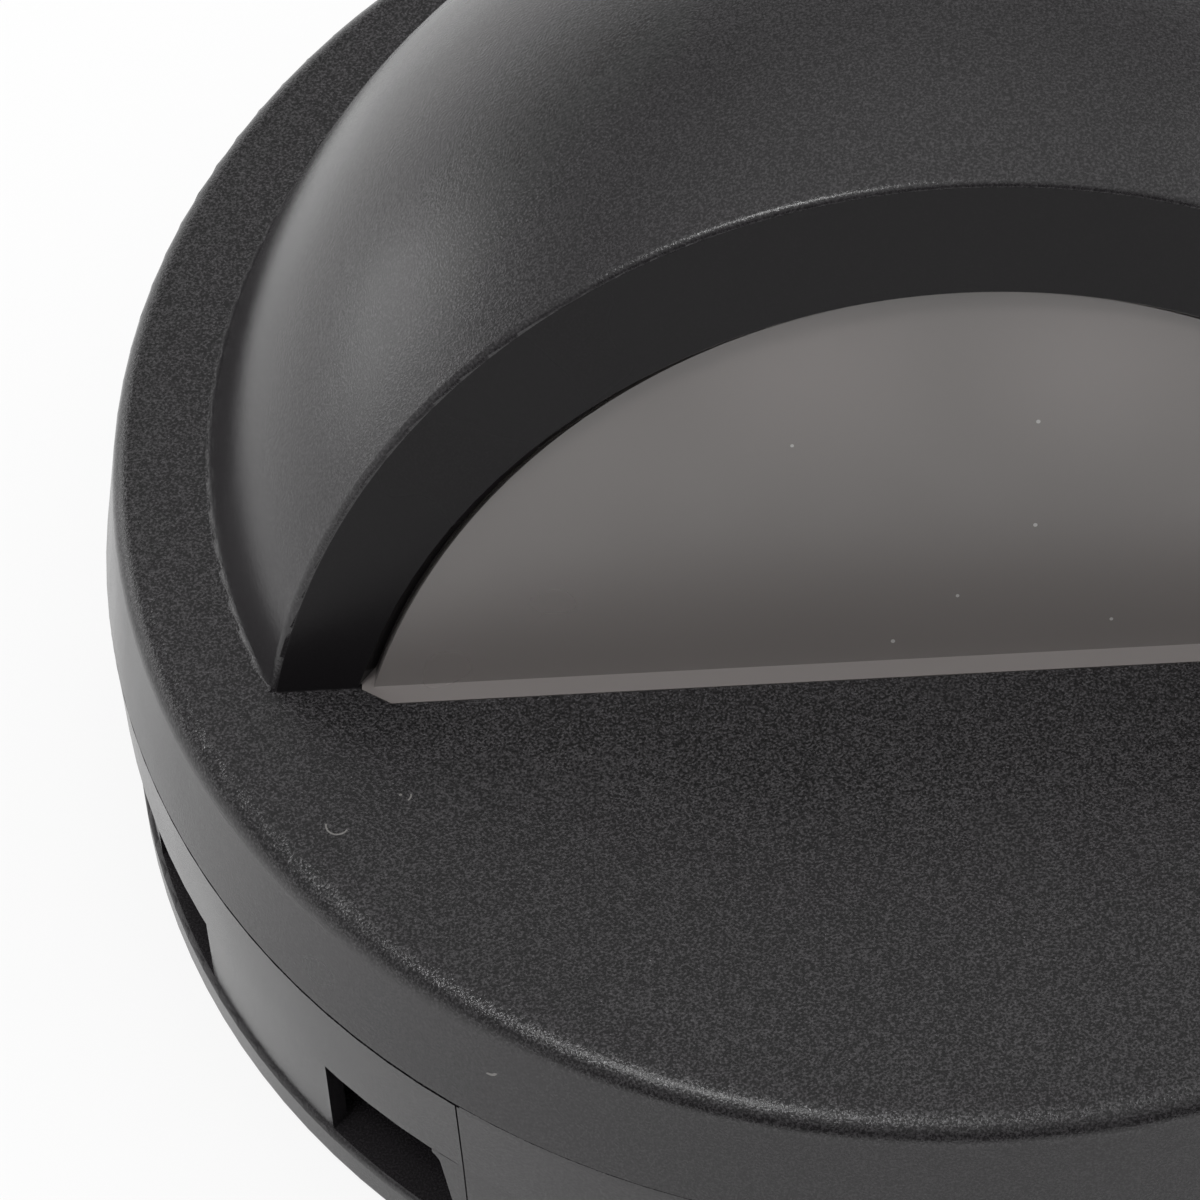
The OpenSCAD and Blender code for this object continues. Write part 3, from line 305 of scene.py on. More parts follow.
@dataclass(frozen=True)
class GrainedShell(MouldedPlastic):
    """The black shell: spark eroded outside, with a duller etch on the band round its mouth, and
    painted shade that darkens the colour of that band.

    The hood is found by its sphere, and the band by that sphere and the mouth's plane, which
    stands mouth_h_mm from the sphere's centre along mouth_facing. Names in _grain give the
    part of the grain that is left at a place, names in _share the part of another value.
    """

    # Sizes of the moulding, as the part's source has them
    dome_centre_mm: Triple = (0.0, 0.0, 23.0)
    dome_r_mm: float = 92.97
    face_z_mm: float = 53.0
    mouth_facing: Triple = (0.0, -0.9553, 0.2957)
    mouth_h_mm: float = 41.92
    mouth_depth_mm: float = 7.0
    # How near the sphere a place counts as on it, and how far over the face the hood begins
    edge_mm: float = 0.6
    face_gap_mm: float = 0.2
    # Height of a surface without grain
    rest_level: float = 0.4
    # Upward share of the normal, and heights, over which the grain comes in
    etched_facing: float = 0.2
    etched_above_mm: tuple[float, float] = (30.0, 36.0)
    wall_grain: float = 0.35
    mouth_grain: float = 0.25
    hood_grain: float = 0.65
    shine: float = 0.66
    dull_share: float = 0.34
    # Share of the colour left on the mouth's band: painted shade
    mouth_painted_shade_share: float = 0.5
    pit_share: float = 0.45
    wall_shine: float = 0.5
    # Upward share of the normal over which a wall's weaker shine becomes the full one
    wall_facing: tuple[float, float] = (0.05, 0.3)
    dust: str = "6e6c6a"
    # A curled fibre, a short one and a speck on the face, and a bent fibre on the skirt
    fibres: tuple[Fibre, ...] = (
        Fibre((-73.32, -53.85, 53.0), 1.32, (-0.387, -0.922, 0.0), 0.21),
        Fibre((-65.66, -50.21, 53.0), 0.8, (0.912, -0.41, 0.0), 0.82),
        Fibre((-66.07, -50.09, 53.0), width_mm=0.35),
        Fibre((-57.93, -84.05, 45.64), 1.79, (0.389, -0.278, -0.878), 0.54),
    )

    def grain_height(self, tree: Tree, place: Socket) -> Socket:
        """Grain that is full on the face, finer on walls and ledges, and faint at the mouth.

        The mould leaves a wall by sliding along it, so a wall's etch is kept fine.

        Args:
            tree: Node tree of the material.
            place: Coordinates in metres.

        Returns:
            The height.
        """
        full = super().grain_height(tree, place)
        facing = add(tree, "ShaderNodeNewGeometry")
        up = add(tree, "ShaderNodeSeparateXYZ", {}, {0: facing.outputs["Normal"]})
        tilted = add(tree, "ShaderNodeMapRange", {
            "From Min": self.etched_facing, "To Min": self.wall_grain,
        }, {"Value": up.outputs["Z"]})
        foot, top = self.etched_above_mm
        height = add(tree, "ShaderNodeSeparateXYZ", {}, {0: place})
        raised = add(tree, "ShaderNodeMapRange", {
            "From Min": foot * MM, "From Max": top * MM, "To Min": self.wall_grain,
        }, {"Value": height.outputs["Z"]})
        share = add(tree, "ShaderNodeMath", {".operation": "MINIMUM"},
                    {0: tilted.outputs["Result"], 1: raised.outputs["Result"]})
        fade = add(tree, "ShaderNodeMapRange", {"To Min": 1.0, "To Max": self.mouth_grain},
                   {"Value": self.mouth(tree, place)})
        hood = add(tree, "ShaderNodeMapRange", {"To Min": 1.0, "To Max": self.hood_grain},
                   {"Value": self.hood(tree, place)})
        most = add(tree, "ShaderNodeMath", {".operation": "MULTIPLY"},
                   {0: share.outputs["Value"], 1: fade.outputs["Result"]})
        strength = add(tree, "ShaderNodeMath", {".operation": "MULTIPLY"},
                       {0: most.outputs["Value"], 1: hood.outputs["Result"]})
        return add(tree, "ShaderNodeMix", {".data_type": "FLOAT", "A": self.rest_level},
                   {"Factor": strength.outputs["Value"], "B": full}).outputs["Result"]

    def hood(self, tree: Tree, place: Socket) -> Socket:
        """One on the hood's round outside, and nought elsewhere.

        Args:
            tree: Node tree of the material.
            place: Coordinates in metres.

        Returns:
            The mask.
        """
        reach = add(tree, "ShaderNodeVectorMath", {
            ".operation": "DISTANCE", 1: metres(self.dome_centre_mm)}, {0: place})
        near = add(tree, "ShaderNodeMath", {
            ".operation": "COMPARE", 1: self.dome_r_mm * MM, 2: self.edge_mm * MM,
        }, {0: reach.outputs["Value"]})
        height = add(tree, "ShaderNodeSeparateXYZ", {}, {0: place})
        above = add(tree, "ShaderNodeMath", {
            ".operation": "GREATER_THAN", 1: (self.face_z_mm + self.face_gap_mm) * MM,
        }, {0: height.outputs["Z"]})
        return add(tree, "ShaderNodeMath", {".operation": "MULTIPLY"},
                   {0: near.outputs["Value"], 1: above.outputs["Value"]}).outputs["Value"]

    def settle(self, tree: Tree, place: Socket, fine: Socket, shader: Node) -> None:
        """Takes shine off the grain's pits, off the walls and off the mouth's band.

        The pits see less of the sky than the tops, so they mirror less of it.

        Args:
            tree: Node tree of the material.
            place: Coordinates in metres.
            fine: Height of the grain.
            shader: The shader to change.
        """
        tops = add(tree, "ShaderNodeMapRange", {
            "To Min": self.shine * (1 - self.pit_share),
            "To Max": self.shine * (1 + self.pit_share),
        }, {"Value": fine})
        dull = add(tree, "ShaderNodeMapRange", {"To Min": 1.0, "To Max": self.dull_share},
                   {"Value": self.mouth(tree, place)})
        facing = add(tree, "ShaderNodeNewGeometry")
        up = add(tree, "ShaderNodeSeparateXYZ", {}, {0: facing.outputs["Normal"]})
        steep, level = self.wall_facing
        wall = add(tree, "ShaderNodeMapRange", {
            "From Min": steep, "From Max": level, "To Min": self.wall_shine,
        }, {"Value": up.outputs["Z"]})
        both = add(tree, "ShaderNodeMath", {".operation": "MULTIPLY"},
                   {0: wall.outputs["Result"], 1: dull.outputs["Result"]})
        shine = add(tree, "ShaderNodeMath", {".operation": "MULTIPLY"},
                    {0: tops.outputs["Result"], 1: both.outputs["Value"]})
        tree.links.new(shine.outputs["Value"], shader.inputs["Specular IOR Level"])

    def tone(self, tree: Tree, place: Socket, fine: Socket, drift: Socket) -> Socket:
        """Colour of the shell, darker on the mouth's band as painted shade, with the dust that
        lies on it.

        Args:
            tree: Node tree of the material.
            place: Coordinates in metres.
            fine: Height of the grain.
            drift: Slow noise.

        Returns:
            The colour.
        """
        base = super().tone(tree, place, fine, drift)
        # Painted shade: the colour is darker on the mouth's band
        mouth_painted_shade = add(tree, "ShaderNodeMapRange", {"To Min": 1.0, "To Max": self.mouth_painted_shade_share},
                   {"Value": self.mouth(tree, place)})
        shaded = add(tree, "ShaderNodeVectorMath", {".operation": "SCALE"},
                     {0: base, "Scale": mouth_painted_shade.outputs["Result"]}).outputs["Vector"]
        return lay_dust(tree, place, shaded, self.fibres, self.dust)

    def mouth(self, tree: Tree, place: Socket) -> Socket:
        """One on the band round the mouth and on the mouth's wall, and nought elsewhere.

        Args:
            tree: Node tree of the material.
            place: Coordinates in metres.

        Returns:
            The mask.
        """
        arm = add(tree, "ShaderNodeVectorMath", {
            ".operation": "SUBTRACT", 1: metres(self.dome_centre_mm)}, {0: place})
        along = add(tree, "ShaderNodeVectorMath", {
            ".operation": "DOT_PRODUCT", 1: self.mouth_facing}, {0: arm.outputs["Vector"]})
        reach = add(tree, "ShaderNodeVectorMath", {".operation": "LENGTH"},
                    {0: arm.outputs["Vector"]})
        inside = add(tree, "ShaderNodeMath", {
            ".operation": "LESS_THAN", 1: (self.dome_r_mm - self.edge_mm) * MM,
        }, {0: reach.outputs["Value"]})
        # The band begins a hair in front of the mouth's plane, so all of its edge is in it
        middle = (self.mouth_h_mm - self.mouth_depth_mm / 2 + self.edge_mm / 4) * MM
        near = add(tree, "ShaderNodeMath", {
            ".operation": "COMPARE", 1: middle, 2: self.mouth_depth_mm / 2 * MM,
        }, {0: along.outputs["Value"]})
        return add(tree, "ShaderNodeMath", {".operation": "MULTIPLY"},
                   {0: inside.outputs["Value"], 1: near.outputs["Value"]}).outputs["Value"]


@dataclass(frozen=True)
class SmokedLens:
    """Smoked polycarbonate with a fine satin on its back: a soft glow, and nothing sharp in it.

    Its front and its back both mirror, which doubles the shine of one surface. Its colour is
    painted paler in two patches high up, a painted glow of the white bowl behind, paler along
    the strip, a painted light, and darker near the face, a painted shade. The melt's flow leaves
    long soft streaks, and the gate end a faint orange peel.
    """

    name: str
    colour: str
    roughness: float = 0.26
    gloss_drift: float = 0.03
    streak_mm: float = 12.0
    peel_mm: float = 1.2
    peel_depth_mm: float = 0.0012
    clear: float = 0.45
    shine: float = 1.0
    ior: float = 1.585
    # Heights over which the painted shade near the face fades out, and the colour's share at the
    # lower one
    painted_shade_mm: tuple[float, float] = (53.0, 78.0)
    low_painted_shade_share: float = 0.95
    # Upward share of the normal that only the strip has, and the colour's share there, a painted
    # light
    strip_facing: float = 0.9
    strip_painted_light_share: float = 1.2
    # Middles of two paler patches, a painted glow, their radius and the colour's share at the
    # middles
    painted_glow_mm: tuple[Triple, ...] = ((-17.0, -20.5, 91.0), (14.0, -21.0, 90.0))
    painted_glow_r_mm: float = 19.0
    painted_glow_share: float = 1.2
    dust: str = "d0cecb"
    # Pale specks on the half-round field
    specks: tuple[Fibre, ...] = (
        Fibre((8.5, -23.8, 82.2), width_mm=0.5),
        Fibre((7.9, -28.6, 69.3), width_mm=0.5),
        Fibre((-1.2, -31.7, 60.8), width_mm=0.42),
        Fibre((-8.8, -33.7, 55.4), width_mm=0.5),
        Fibre((-19.4, -24.3, 80.8), width_mm=0.42),
        Fibre((16.4, -33.2, 56.8), width_mm=0.42),
    )

    def build(self) -> bpy.types.Material:
        """Makes the material.

        Returns:
            The material.
        """
        material, tree, out = new_material(self.name)
        place = add(tree, "ShaderNodeTexCoord").outputs["Object"]
        streaks = add(tree, "ShaderNodeTexNoise", {
            "Scale": per_metre(self.streak_mm), "Detail": 1.0}, {"Vector": place})
        peel = add(tree, "ShaderNodeTexNoise", {
            "Scale": per_metre(self.peel_mm), "Detail": 2.0}, {"Vector": place})
        gloss = add(tree, "ShaderNodeMapRange", {
            "To Min": self.roughness - self.gloss_drift,
            "To Max": self.roughness + self.gloss_drift,
        }, {"Value": streaks.outputs["Fac"]})
        bump = add(tree, "ShaderNodeBump", {
            "Strength": 1.0, "Distance": self.peel_depth_mm * MM,
        }, {"Height": peel.outputs["Fac"]})
        colour = lay_dust(tree, place, self.smoke(tree, place), self.specks, self.dust)
        shader = add(tree, "ShaderNodeBsdfPrincipled", {
            "IOR": self.ior, "Transmission Weight": self.clear,
            "Specular IOR Level": self.shine,
        }, {
            "Base Color": colour, "Roughness": gloss.outputs["Result"],
            "Normal": bump.outputs["Normal"],
        })
        tree.links.new(shader.outputs["BSDF"], out.inputs["Surface"])
        return material

    def smoke(self, tree: Tree, place: Socket) -> Socket:
        """Colour of the smoke, with painted shade that darkens it low down and painted light
        that makes it paler in two patches and along the strip.

        Args:
            tree: Node tree of the material.
            place: Coordinates in metres.

        Returns:
            The colour.
        """
        # Painted shade low down, painted glow in two patches and painted light along the strip
        height = add(tree, "ShaderNodeSeparateXYZ", {}, {0: place}).outputs["Z"]
        low, high = self.painted_shade_mm
        share = add(tree, "ShaderNodeMapRange", {
            "From Min": low * MM, "From Max": high * MM, "To Min": self.low_painted_shade_share,
        }, {"Value": height}).outputs["Result"]
        for centre in self.painted_glow_mm:
            away = add(tree, "ShaderNodeVectorMath", {
                ".operation": "DISTANCE", 1: metres(centre)}, {0: place})
            glow = add(tree, "ShaderNodeMapRange", {
                ".interpolation_type": "SMOOTHSTEP", "From Max": self.painted_glow_r_mm * MM,
                "To Min": self.painted_glow_share, "To Max": 1.0,
            }, {"Value": away.outputs["Value"]})
            share = add(tree, "ShaderNodeMath", {".operation": "MULTIPLY"},
                        {0: share, 1: glow.outputs["Result"]}).outputs["Value"]
        facing = add(tree, "ShaderNodeNewGeometry")
        up = add(tree, "ShaderNodeSeparateXYZ", {}, {0: facing.outputs["True Normal"]})
        strip = add(tree, "ShaderNodeMath", {
            ".operation": "GREATER_THAN", 1: self.strip_facing}, {0: up.outputs["Z"]})
        share = add(tree, "ShaderNodeMix", {".data_type": "FLOAT", "B": self.strip_painted_light_share},
                    {"Factor": strip.outputs["Value"], "A": share}).outputs["Result"]
        return add(tree, "ShaderNodeVectorMath", {
            ".operation": "SCALE", 0: linear(self.colour)[:3],
        }, {"Scale": share}).outputs["Vector"]


@dataclass(frozen=True)
class SoftRubber:
    """Rubber, silicone or cell foam: no clear highlight, and pores whose middles are darker as
    painted shade.

    A pore's middle has pore_painted_shade of the full colour, as painted shade.
    """

    name: str
    colour: str
    pore_mm: float
    pore_depth_mm: float
    roughness: float = 0.75
    pore_painted_shade: float = 0.7
    ior: float = 1.45

    def build(self) -> bpy.types.Material:
        """Makes the material.

        Returns:
            The material.
        """
        material, tree, out = new_material(self.name)
        place = add(tree, "ShaderNodeTexCoord").outputs["Object"]
        pores = add(tree, "ShaderNodeTexVoronoi", {"Scale": per_metre(self.pore_mm)},
                    {"Vector": place})
        full = linear(self.colour)
        # Painted shade: a pore's middle, its lowest point, is darker
        shade = add(tree, "ShaderNodeMix", {
            ".data_type": "RGBA", "B": full,
            "A": tuple(self.pore_painted_shade * c for c in full[:3]) + full[3:],
        }, {"Factor": pores.outputs["Distance"]})
        bump = add(tree, "ShaderNodeBump", {
            "Strength": 1.0, "Distance": self.pore_depth_mm * MM,
        }, {"Height": pores.outputs["Distance"]})
        shader = add(tree, "ShaderNodeBsdfPrincipled", {
            "Roughness": self.roughness, "IOR": self.ior,
        }, {"Base Color": shade.outputs["Result"], "Normal": bump.outputs["Normal"]})
        tree.links.new(shader.outputs["BSDF"], out.inputs["Surface"])
        return material


@dataclass(frozen=True)
class WorkedMetal:
    """Bare or plated metal with the lines that rolling or turning left along X.

    Real lines are some hundredths of a millimetre apart, too fine to show, so line_mm draws
    them coarser. They are line_stretch times as long as wide, and stains some millimetres
    wide change the gloss.
    """

    name: str
    colour: str
    roughness: float
    line_mm: float
    line_depth_mm: float = 0.004
    line_stretch: float = 40.0
    stain_mm: float = 9.0
    gloss_drift: float = 0.08

    def build(self) -> bpy.types.Material:
        """Makes the material.

        Returns:
            The material.
        """
        material, tree, out = new_material(self.name)
        place = add(tree, "ShaderNodeTexCoord").outputs["Object"]
        along = add(tree, "ShaderNodeMapping", {"Scale": (1 / self.line_stretch, 1.0, 1.0)},
                    {"Vector": place})
        lines = add(tree, "ShaderNodeTexNoise", {
            "Scale": per_metre(self.line_mm), "Detail": 3.0,
        }, {"Vector": along.outputs["Vector"]})
        stain = add(tree, "ShaderNodeTexNoise", {"Scale": per_metre(self.stain_mm)},
                    {"Vector": place})
        gloss = add(tree, "ShaderNodeMapRange", {
            "To Min": self.roughness - self.gloss_drift,
            "To Max": self.roughness + self.gloss_drift,
        }, {"Value": stain.outputs["Fac"]})
        bump = add(tree, "ShaderNodeBump", {
            "Strength": 1.0, "Distance": self.line_depth_mm * MM,
        }, {"Height": lines.outputs["Fac"]})
        shader = add(tree, "ShaderNodeBsdfPrincipled", {
            "Base Color": linear(self.colour), "Metallic": 1.0,
        }, {"Roughness": gloss.outputs["Result"], "Normal": bump.outputs["Normal"]})
        tree.links.new(shader.outputs["BSDF"], out.inputs["Surface"])
        return material


Finish = MouldedPlastic | SmokedLens | SoftRubber | WorkedMetal

# Zinc gives screw heads a pale, soft-edged shine
ZINC = WorkedMetal("zinc_plated_steel", "b9babb", roughness=0.32, line_mm=0.2)
# Milky and dull. Its skin has no pores that would show, so a faint unevenness is drawn at
# 1.5 mm
SILICONE = SoftRubber("pale_silicone", "c6c5bf", pore_mm=1.5, pore_depth_mm=0.005)


def dress(node: str, finish: Finish) -> None:
    """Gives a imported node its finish, made once and shared by name.

    Args:
        node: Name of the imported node.
        finish: Finish that it gets.
    """
    material = bpy.data.materials.get(finish.name) or finish.build()
    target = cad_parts[node]
    if not target.material_slots:
        target.data.materials.append(material)
    for slot in target.material_slots:
        slot.material = material
    log.info("dressed %s in %s", node, finish.name)


@dataclass
class Shell:
    """The two black mouldings: the base and the snapped-on front cover with its hood."""

    # Spark erosion leaves pits 0.3 mm wide, as large as they look in the photograph. They
    # sparkle on the face and fade to a soft sheen on the walls
    # mottle_and_glint paints the sparkle into the colour: paler tops are painted glints, darker
    # pits painted shade
    finish: GrainedShell = GrainedShell(
        "spark_grained_black_polycarbonate", "292729", roughness=0.24, grain_mm=0.3,
        grain_depth_mm=0.03, mottle_and_glint=0.8, pit_level=0.42, top_level=0.74)
    nodes: tuple[str, ...] = ("base", "front_cover")

    def build(self) -> None:
        """Dresses the mouldings."""
        for node in self.nodes:
            dress(node, self.finish)


@dataclass
class LensUnit:
    """The smoked lens with the gasket, frame and screws that hold it."""

    # Grey-brown smoke, half clear, with a broad soft mirror image of the room
    glazing: SmokedLens = SmokedLens("smoked_polycarbonate", "8c8684")
    gasket: SoftRubber = SILICONE
    # Nylon from a plain sanded mould: dark grey and half dull
    holder: MouldedPlastic = MouldedPlastic(
        "black_polyamide", "2e2e30", roughness=0.5, grain_mm=0.4)
    screws: WorkedMetal = ZINC

    def build(self) -> None:
        """Dresses the lens and what holds it."""
        dress("lens", self.glazing)
        dress("lens_gasket", self.gasket)
        dress("lens_retainer", self.holder)
        dress("retainer_screws", self.screws)


@dataclass
class LightEngine:
    """Reflector, tray, board and chips, which stand in the sealed chamber."""

    # Moulded glossy, so that it throws the light forward: near white, with clear highlights
    white: MouldedPlastic = MouldedPlastic(
        "gloss_white_polycarbonate", "e6e6e3", roughness=0.3, grain_mm=0.4,
        grain_depth_mm=0.004)
    # Sheet as it leaves the rolls: pale grey, with its shine drawn out across the lines
    tray: WorkedMetal = WorkedMetal("rolled_aluminium", "c3c4c6", roughness=0.4, line_mm=0.25)
    # Printed and cured lacquer: warm white, smooth, with a thin satin
    mask: MouldedPlastic = MouldedPlastic(
        "white_solder_mask", "e4e4de", roughness=0.38, grain_mm=0.25, grain_depth_mm=0.003)
    # Cast silicone full of phosphor: deep yellow and a little waxy
    phosphor: MouldedPlastic = MouldedPlastic(
        "phosphor_silicone", "e0c25c", roughness=0.35, grain_mm=0.2, grain_depth_mm=0.004)
    screws: WorkedMetal = ZINC

    def build(self) -> None:
        """Dresses the pieces."""
        dress("reflector", self.white)
        dress("gear_tray", self.tray)
        dress("led_board", self.mask)
        dress("led_chips", self.phosphor)
        for node in ("reflector_screws", "tray_screws", "board_screws"):
            dress(node, self.screws)


class CoreColour(Enum):
    """Insulation of each lead, in the usual colours of mains and low-voltage wiring."""

    LIVE = "5b3320"
    NEUTRAL = "28407d"
    POSITIVE = "9c2420"
    NEGATIVE = "1d1d1e"


@dataclass
class Supply:
    """Driver, terminals, clamp and leads on the floor of the base."""

    # Undyed nylon from a blasted mould: bone white with a faint satin
    pale: MouldedPlastic = MouldedPlastic(
        "natural_polyamide", "dddcd6", roughness=0.42, grain_mm=0.5, grain_depth_mm=0.006)
    screws: WorkedMetal = ZINC
    # Turned on a lathe: warm yellow, brighter than the zinc
    brass: WorkedMetal = WorkedMetal("turned_brass", "c9a45c", roughness=0.3, line_mm=0.2)
    leads: dict[str, CoreColour] = field(default_factory=lambda: {
        "live_lead": CoreColour.LIVE, "neutral_lead": CoreColour.NEUTRAL,
        "positive_lead": CoreColour.POSITIVE, "negative_lead": CoreColour.NEGATIVE})

    def build(self) -> None:
        """Dresses the pieces, each lead in the colour of its insulation."""
        for node in ("driver", "terminal_block", "cable_clamp", "board_connector"):
            dress(node, self.pale)
        for node in ("driver_screws", "block_screws", "clamp_screws"):
            dress(node, self.screws)
        dress("terminal_screws", self.brass)
        for node, colour in self.leads.items():
            dress(node, self.insulation(node, colour))

    def insulation(self, node: str, colour: CoreColour) -> MouldedPlastic:
        """Extruded vinyl round a lead: an even colour with a soft shine.

        Args:
            node: Name of the lead's node.
            colour: Colour of its insulation.

        Returns:
            The finish.
        """
        return MouldedPlastic(f"insulation_{node}", colour.value, roughness=0.4, grain_mm=0.6,
                              grain_depth_mm=0.004)


@dataclass
class Seals:
    """Foam behind the base, the grommet and the ring that seals the cover."""

    # Blown foam: dark grey and quite dull, with open cells of 0.7 mm
    foam: SoftRubber = SoftRubber("cell_foam", "4a4a4c", roughness=0.9, pore_mm=0.7,
                                  pore_depth_mm=0.08)
    # Pressed in a smooth mould: black with a broad, weak shine. Its skin has no pores that
    # would show, so a faint unevenness is drawn at 1.2 mm
    rubber: SoftRubber = SoftRubber("black_rubber", "252526", roughness=0.6, pore_mm=1.2,
                                    pore_depth_mm=0.005)
    silicone: SoftRubber = SILICONE

    def build(self) -> None:
        """Dresses the seals."""
        dress("back_gasket", self.foam)
        dress("cable_grommet", self.rubber)
        dress("cover_seal", self.silicone)


@dataclass(frozen=True)
class MatchedCamera:
    """Camera fitted to edges traced in the photograph. Angles are in degrees."""

    lens_mm: float = 205.8
    sensor_mm: float = 36.0
    azimuth: float = 1.61
    elevation: float = 53.01
    roll: float = -4.28
    distance_mm: float = 799.2
    target_mm: Triple = (-42.41, -23.77, 53.0)
    clip_m: tuple[float, float] = (0.01, 50.0)

    def build(self) -> None:
        """Places the camera and makes it the scene's own."""
        a, e, r = (math.radians(v) for v in (self.azimuth, self.elevation, self.roll))
        back = Vector((math.sin(a) * math.cos(e), -math.cos(a) * math.cos(e), math.sin(e)))
        right = (-back).cross(Vector(UPWARD)).normalized()
        up = right.cross(-back)
        side = math.cos(r) * right + math.sin(r) * up
        top = math.cos(r) * up - math.sin(r) * right
        data = bpy.data.cameras.new("matched_camera")
        data.lens, data.sensor_width = self.lens_mm, self.sensor_mm
        data.clip_start, data.clip_end = self.clip_m
        camera = bpy.data.objects.new("matched_camera", data)
        place = (Vector(self.target_mm) + back * self.distance_mm) * MM
        turn = Matrix((side, top, back)).transposed().to_4x4()
        camera.matrix_world = Matrix.Translation(place) @ turn
        bpy.context.scene.collection.objects.link(camera)
        bpy.context.scene.camera = camera
        log.info("camera at %s", tuple(round(v, 4) for v in place))


@dataclass(frozen=True)
class SoftBox:
    """One square area light that looks at the part. Lengths are in metres, power in watts."""

    name: str
    place: Triple
    size: float
    power: float
    aim: Triple = (0.0, 0.0, 0.05)

    def build(self) -> None:
        """Adds the light."""
        data = bpy.data.lights.new(self.name, "AREA")
        data.shape, data.size, data.energy = "SQUARE", self.size, self.power
        light = bpy.data.objects.new(self.name, data)
        light.location = self.place
        way = Vector(self.aim) - Vector(self.place)
        light.rotation_euler = way.to_track_quat("-Z", "Y").to_euler()
        bpy.context.scene.collection.objects.link(light)


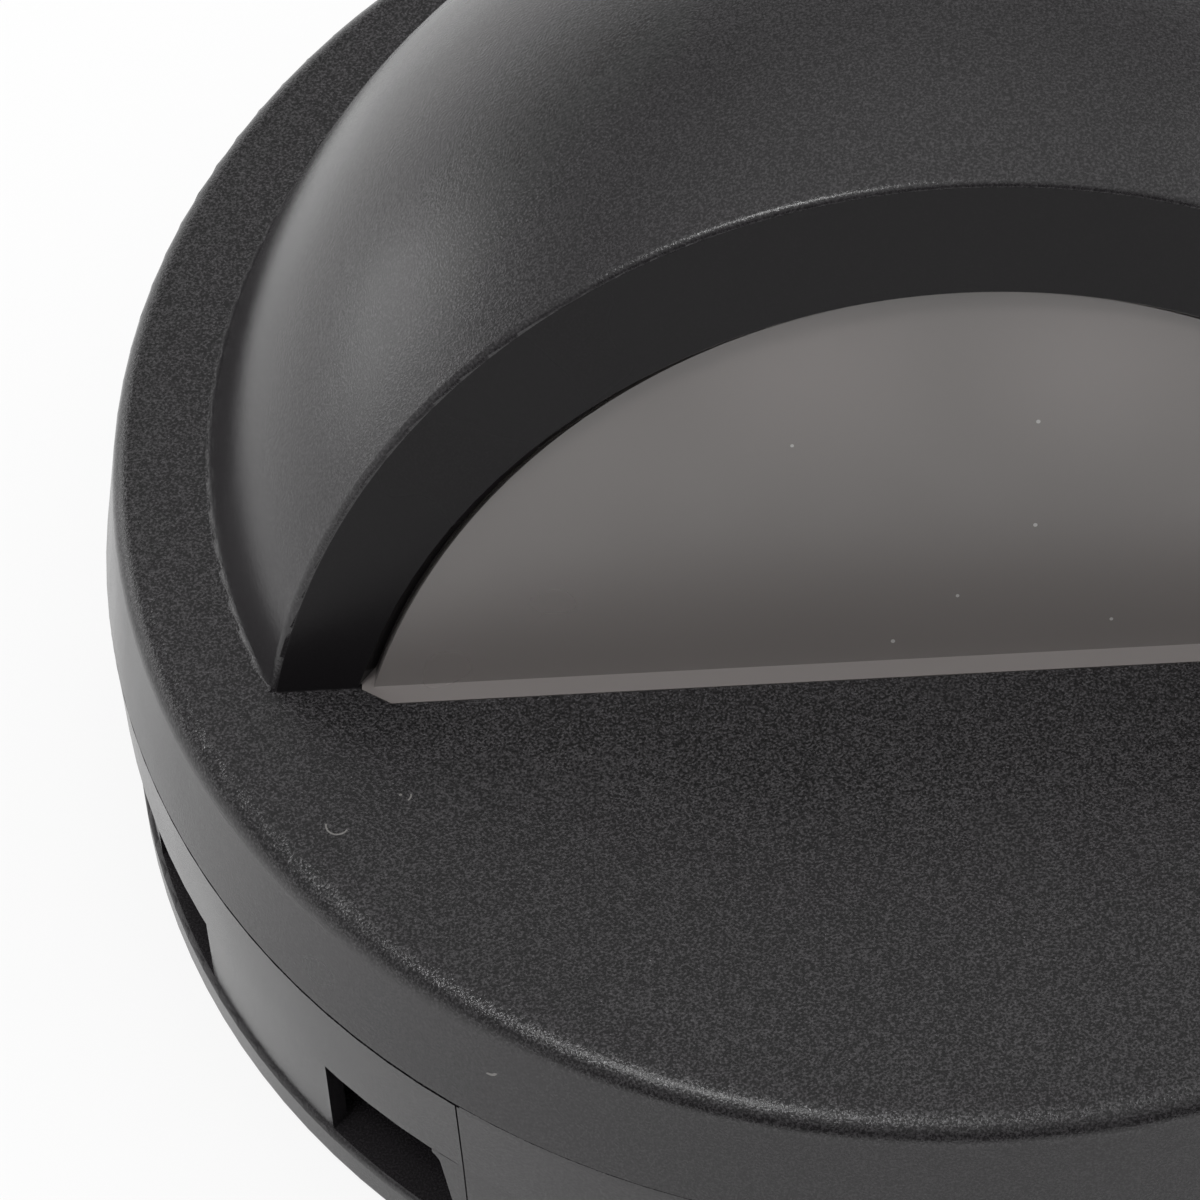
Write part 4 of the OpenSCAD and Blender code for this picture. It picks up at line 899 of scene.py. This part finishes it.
@dataclass
class Studio:
    """White ground, a pale room, a dark curtain and soft boxes.

    The room is white at the table, wall_share as bright on its walls and ceiling_share as
    bright on its ceiling. The two rises say over which heights it changes, as shares of
    straight up. Ambient is the even light that falls on dull surfaces, and glow_share the
    part of the ground's white that is its own.
    """

    ground_m: float = 12.0
    ground_drop_mm: float = 0.05
    paper: str = "f4f4f4"
    glow_share: float = 0.82
    ambient: float = 0.9
    wall_share: float = 0.35
    wall_rise: tuple[float, float] = (0.0, 0.4)
    ceiling_share: float = 0.85
    ceiling_rise: tuple[float, float] = (0.5, 0.85)
    cloth: str = "2a2a2a"
    # Half its width, its place along Y and its height
    curtain_m: Triple = (3.0, -3.0, 1.6)
    boxes: tuple[SoftBox, ...] = (
        SoftBox("left_box", (-1.45, 0.78, 0.3), 0.6, 2.0),
        SoftBox("right_box", (1.5, 0.9, 1.3), 0.9, 1.5),
        SoftBox("top_box", (-0.5, -0.4, 1.5), 0.3, 6.0),
    )

    def seen(self, tree: Tree) -> Socket:
        """One where the camera, a gloss or a clear piece sees the room, and nought elsewhere.

        Args:
            tree: Node tree of the world or of the ground.

        Returns:
            The mask.
        """
        path = add(tree, "ShaderNodeLightPath")
        first = add(tree, "ShaderNodeMath", {".operation": "MAXIMUM"},
                    {0: path.outputs["Is Camera Ray"], 1: path.outputs["Is Glossy Ray"]})
        both = add(tree, "ShaderNodeMath", {".operation": "MAXIMUM"},
                   {0: first.outputs["Value"], 1: path.outputs["Is Transmission Ray"]})
        return both.outputs["Value"]

    def room(self, tree: Tree) -> Socket:
        """Brightness of the room by height.

        Args:
            tree: Node tree of the world.

        Returns:
            The brightness.
        """
        way = add(tree, "ShaderNodeTexCoord")
        height = add(tree, "ShaderNodeSeparateXYZ", {}, {0: way.outputs["Generated"]})
        foot, top = self.wall_rise
        wall = add(tree, "ShaderNodeMapRange", {
            "From Min": foot, "From Max": top, "To Min": 1.0, "To Max": self.wall_share,
        }, {"Value": height.outputs["Z"]})
        foot, top = self.ceiling_rise
        ceiling = add(tree, "ShaderNodeMapRange", {
            "From Min": foot, "From Max": top,
            "To Min": self.wall_share, "To Max": self.ceiling_share,
        }, {"Value": height.outputs["Z"]})
        return add(tree, "ShaderNodeMath", {".operation": "MAXIMUM"},
                   {0: wall.outputs["Result"], 1: ceiling.outputs["Result"]}).outputs["Value"]

    def surround(self) -> None:
        """Sets the world: the room to what mirrors or sees it, and an even fill for the rest."""
        world = bpy.data.worlds.new("white_studio")
        world.use_nodes = True
        tree = world.node_tree
        tree.nodes.clear()
        white = add(tree, "ShaderNodeBackground", {"Color": WHITE},
                    {"Strength": self.room(tree)})
        fill = add(tree, "ShaderNodeBackground", {"Color": WHITE, "Strength": self.ambient})
        mix = add(tree, "ShaderNodeMixShader", {}, {
            0: self.seen(tree), 1: fill.outputs["Background"], 2: white.outputs["Background"]})
        out = add(tree, "ShaderNodeOutputWorld")
        tree.links.new(mix.outputs["Shader"], out.inputs["Surface"])
        bpy.context.scene.world = world

    def sheet(self, name: str, corners: list[Triple]) -> bpy.types.Object:
        """Adds one flat sheet to the studio.

        Args:
            name: Name of the sheet.
            corners: Its four corners in metres, in order round it.

        Returns:
            The sheet.
        """
        mesh = bpy.data.meshes.new(name)
        mesh.from_pydata(corners, [], [(0, 1, 2, 3)])
        piece = bpy.data.objects.new(name, mesh)
        bpy.context.scene.collection.objects.link(piece)
        return piece

    def ground(self) -> None:
        """Lays the ground. Part of its white is its own, and the rest keeps a soft shadow."""
        half = self.ground_m / 2
        floor = self.sheet("ground", [
            (-half, -half, 0), (half, -half, 0), (half, half, 0), (-half, half, 0)])
        floor.location.z = -self.ground_drop_mm * MM
        material, tree, out = new_material("white_ground")
        paper = add(tree, "ShaderNodeBsdfDiffuse", {"Color": linear(self.paper)})
        glow = add(tree, "ShaderNodeEmission", {"Color": WHITE, "Strength": 1.0})
        share = add(tree, "ShaderNodeMath", {".operation": "MULTIPLY", 1: self.glow_share},
                    {0: self.seen(tree)})
        mix = add(tree, "ShaderNodeMixShader", {}, {
            0: share.outputs["Value"], 1: paper.outputs["BSDF"], 2: glow.outputs["Emission"]})
        tree.links.new(mix.outputs["Shader"], out.inputs["Surface"])
        floor.data.materials.append(material)

    def curtain(self) -> None:
        """Hangs the dark curtain, which draws the dark line along the front's rounded edge."""
        half, y, high = self.curtain_m
        cloth = self.sheet("curtain", [
            (-half, y, 0), (half, y, 0), (half, y, high), (-half, y, high)])
        cloth.visible_camera = False
        material, tree, out = new_material("grey_curtain")
        weave = add(tree, "ShaderNodeBsdfDiffuse", {"Color": linear(self.cloth)})
        tree.links.new(weave.outputs["BSDF"], out.inputs["Surface"])
        cloth.data.materials.append(material)

    def build(self) -> None:
        """Builds surroundings, ground, curtain and lights."""
        self.surround()
        self.ground()
        self.curtain()
        for box in self.boxes:
            box.build()
        bpy.context.scene.view_settings.view_transform = "Standard"
        log.info("studio with %d soft boxes", len(self.boxes))


def main() -> None:
    """Builds the looks in order."""
    logging.basicConfig(level=logging.INFO, format="%(name)s: %(message)s")
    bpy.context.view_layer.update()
    MatchedCamera().build()
    Studio().build()
    for unit in (Shell(), LensUnit(), LightEngine(), Supply(), Seals()):
        unit.build()
        log.info("built %s", type(unit).__name__)


if __name__ == "__main__":
    main()
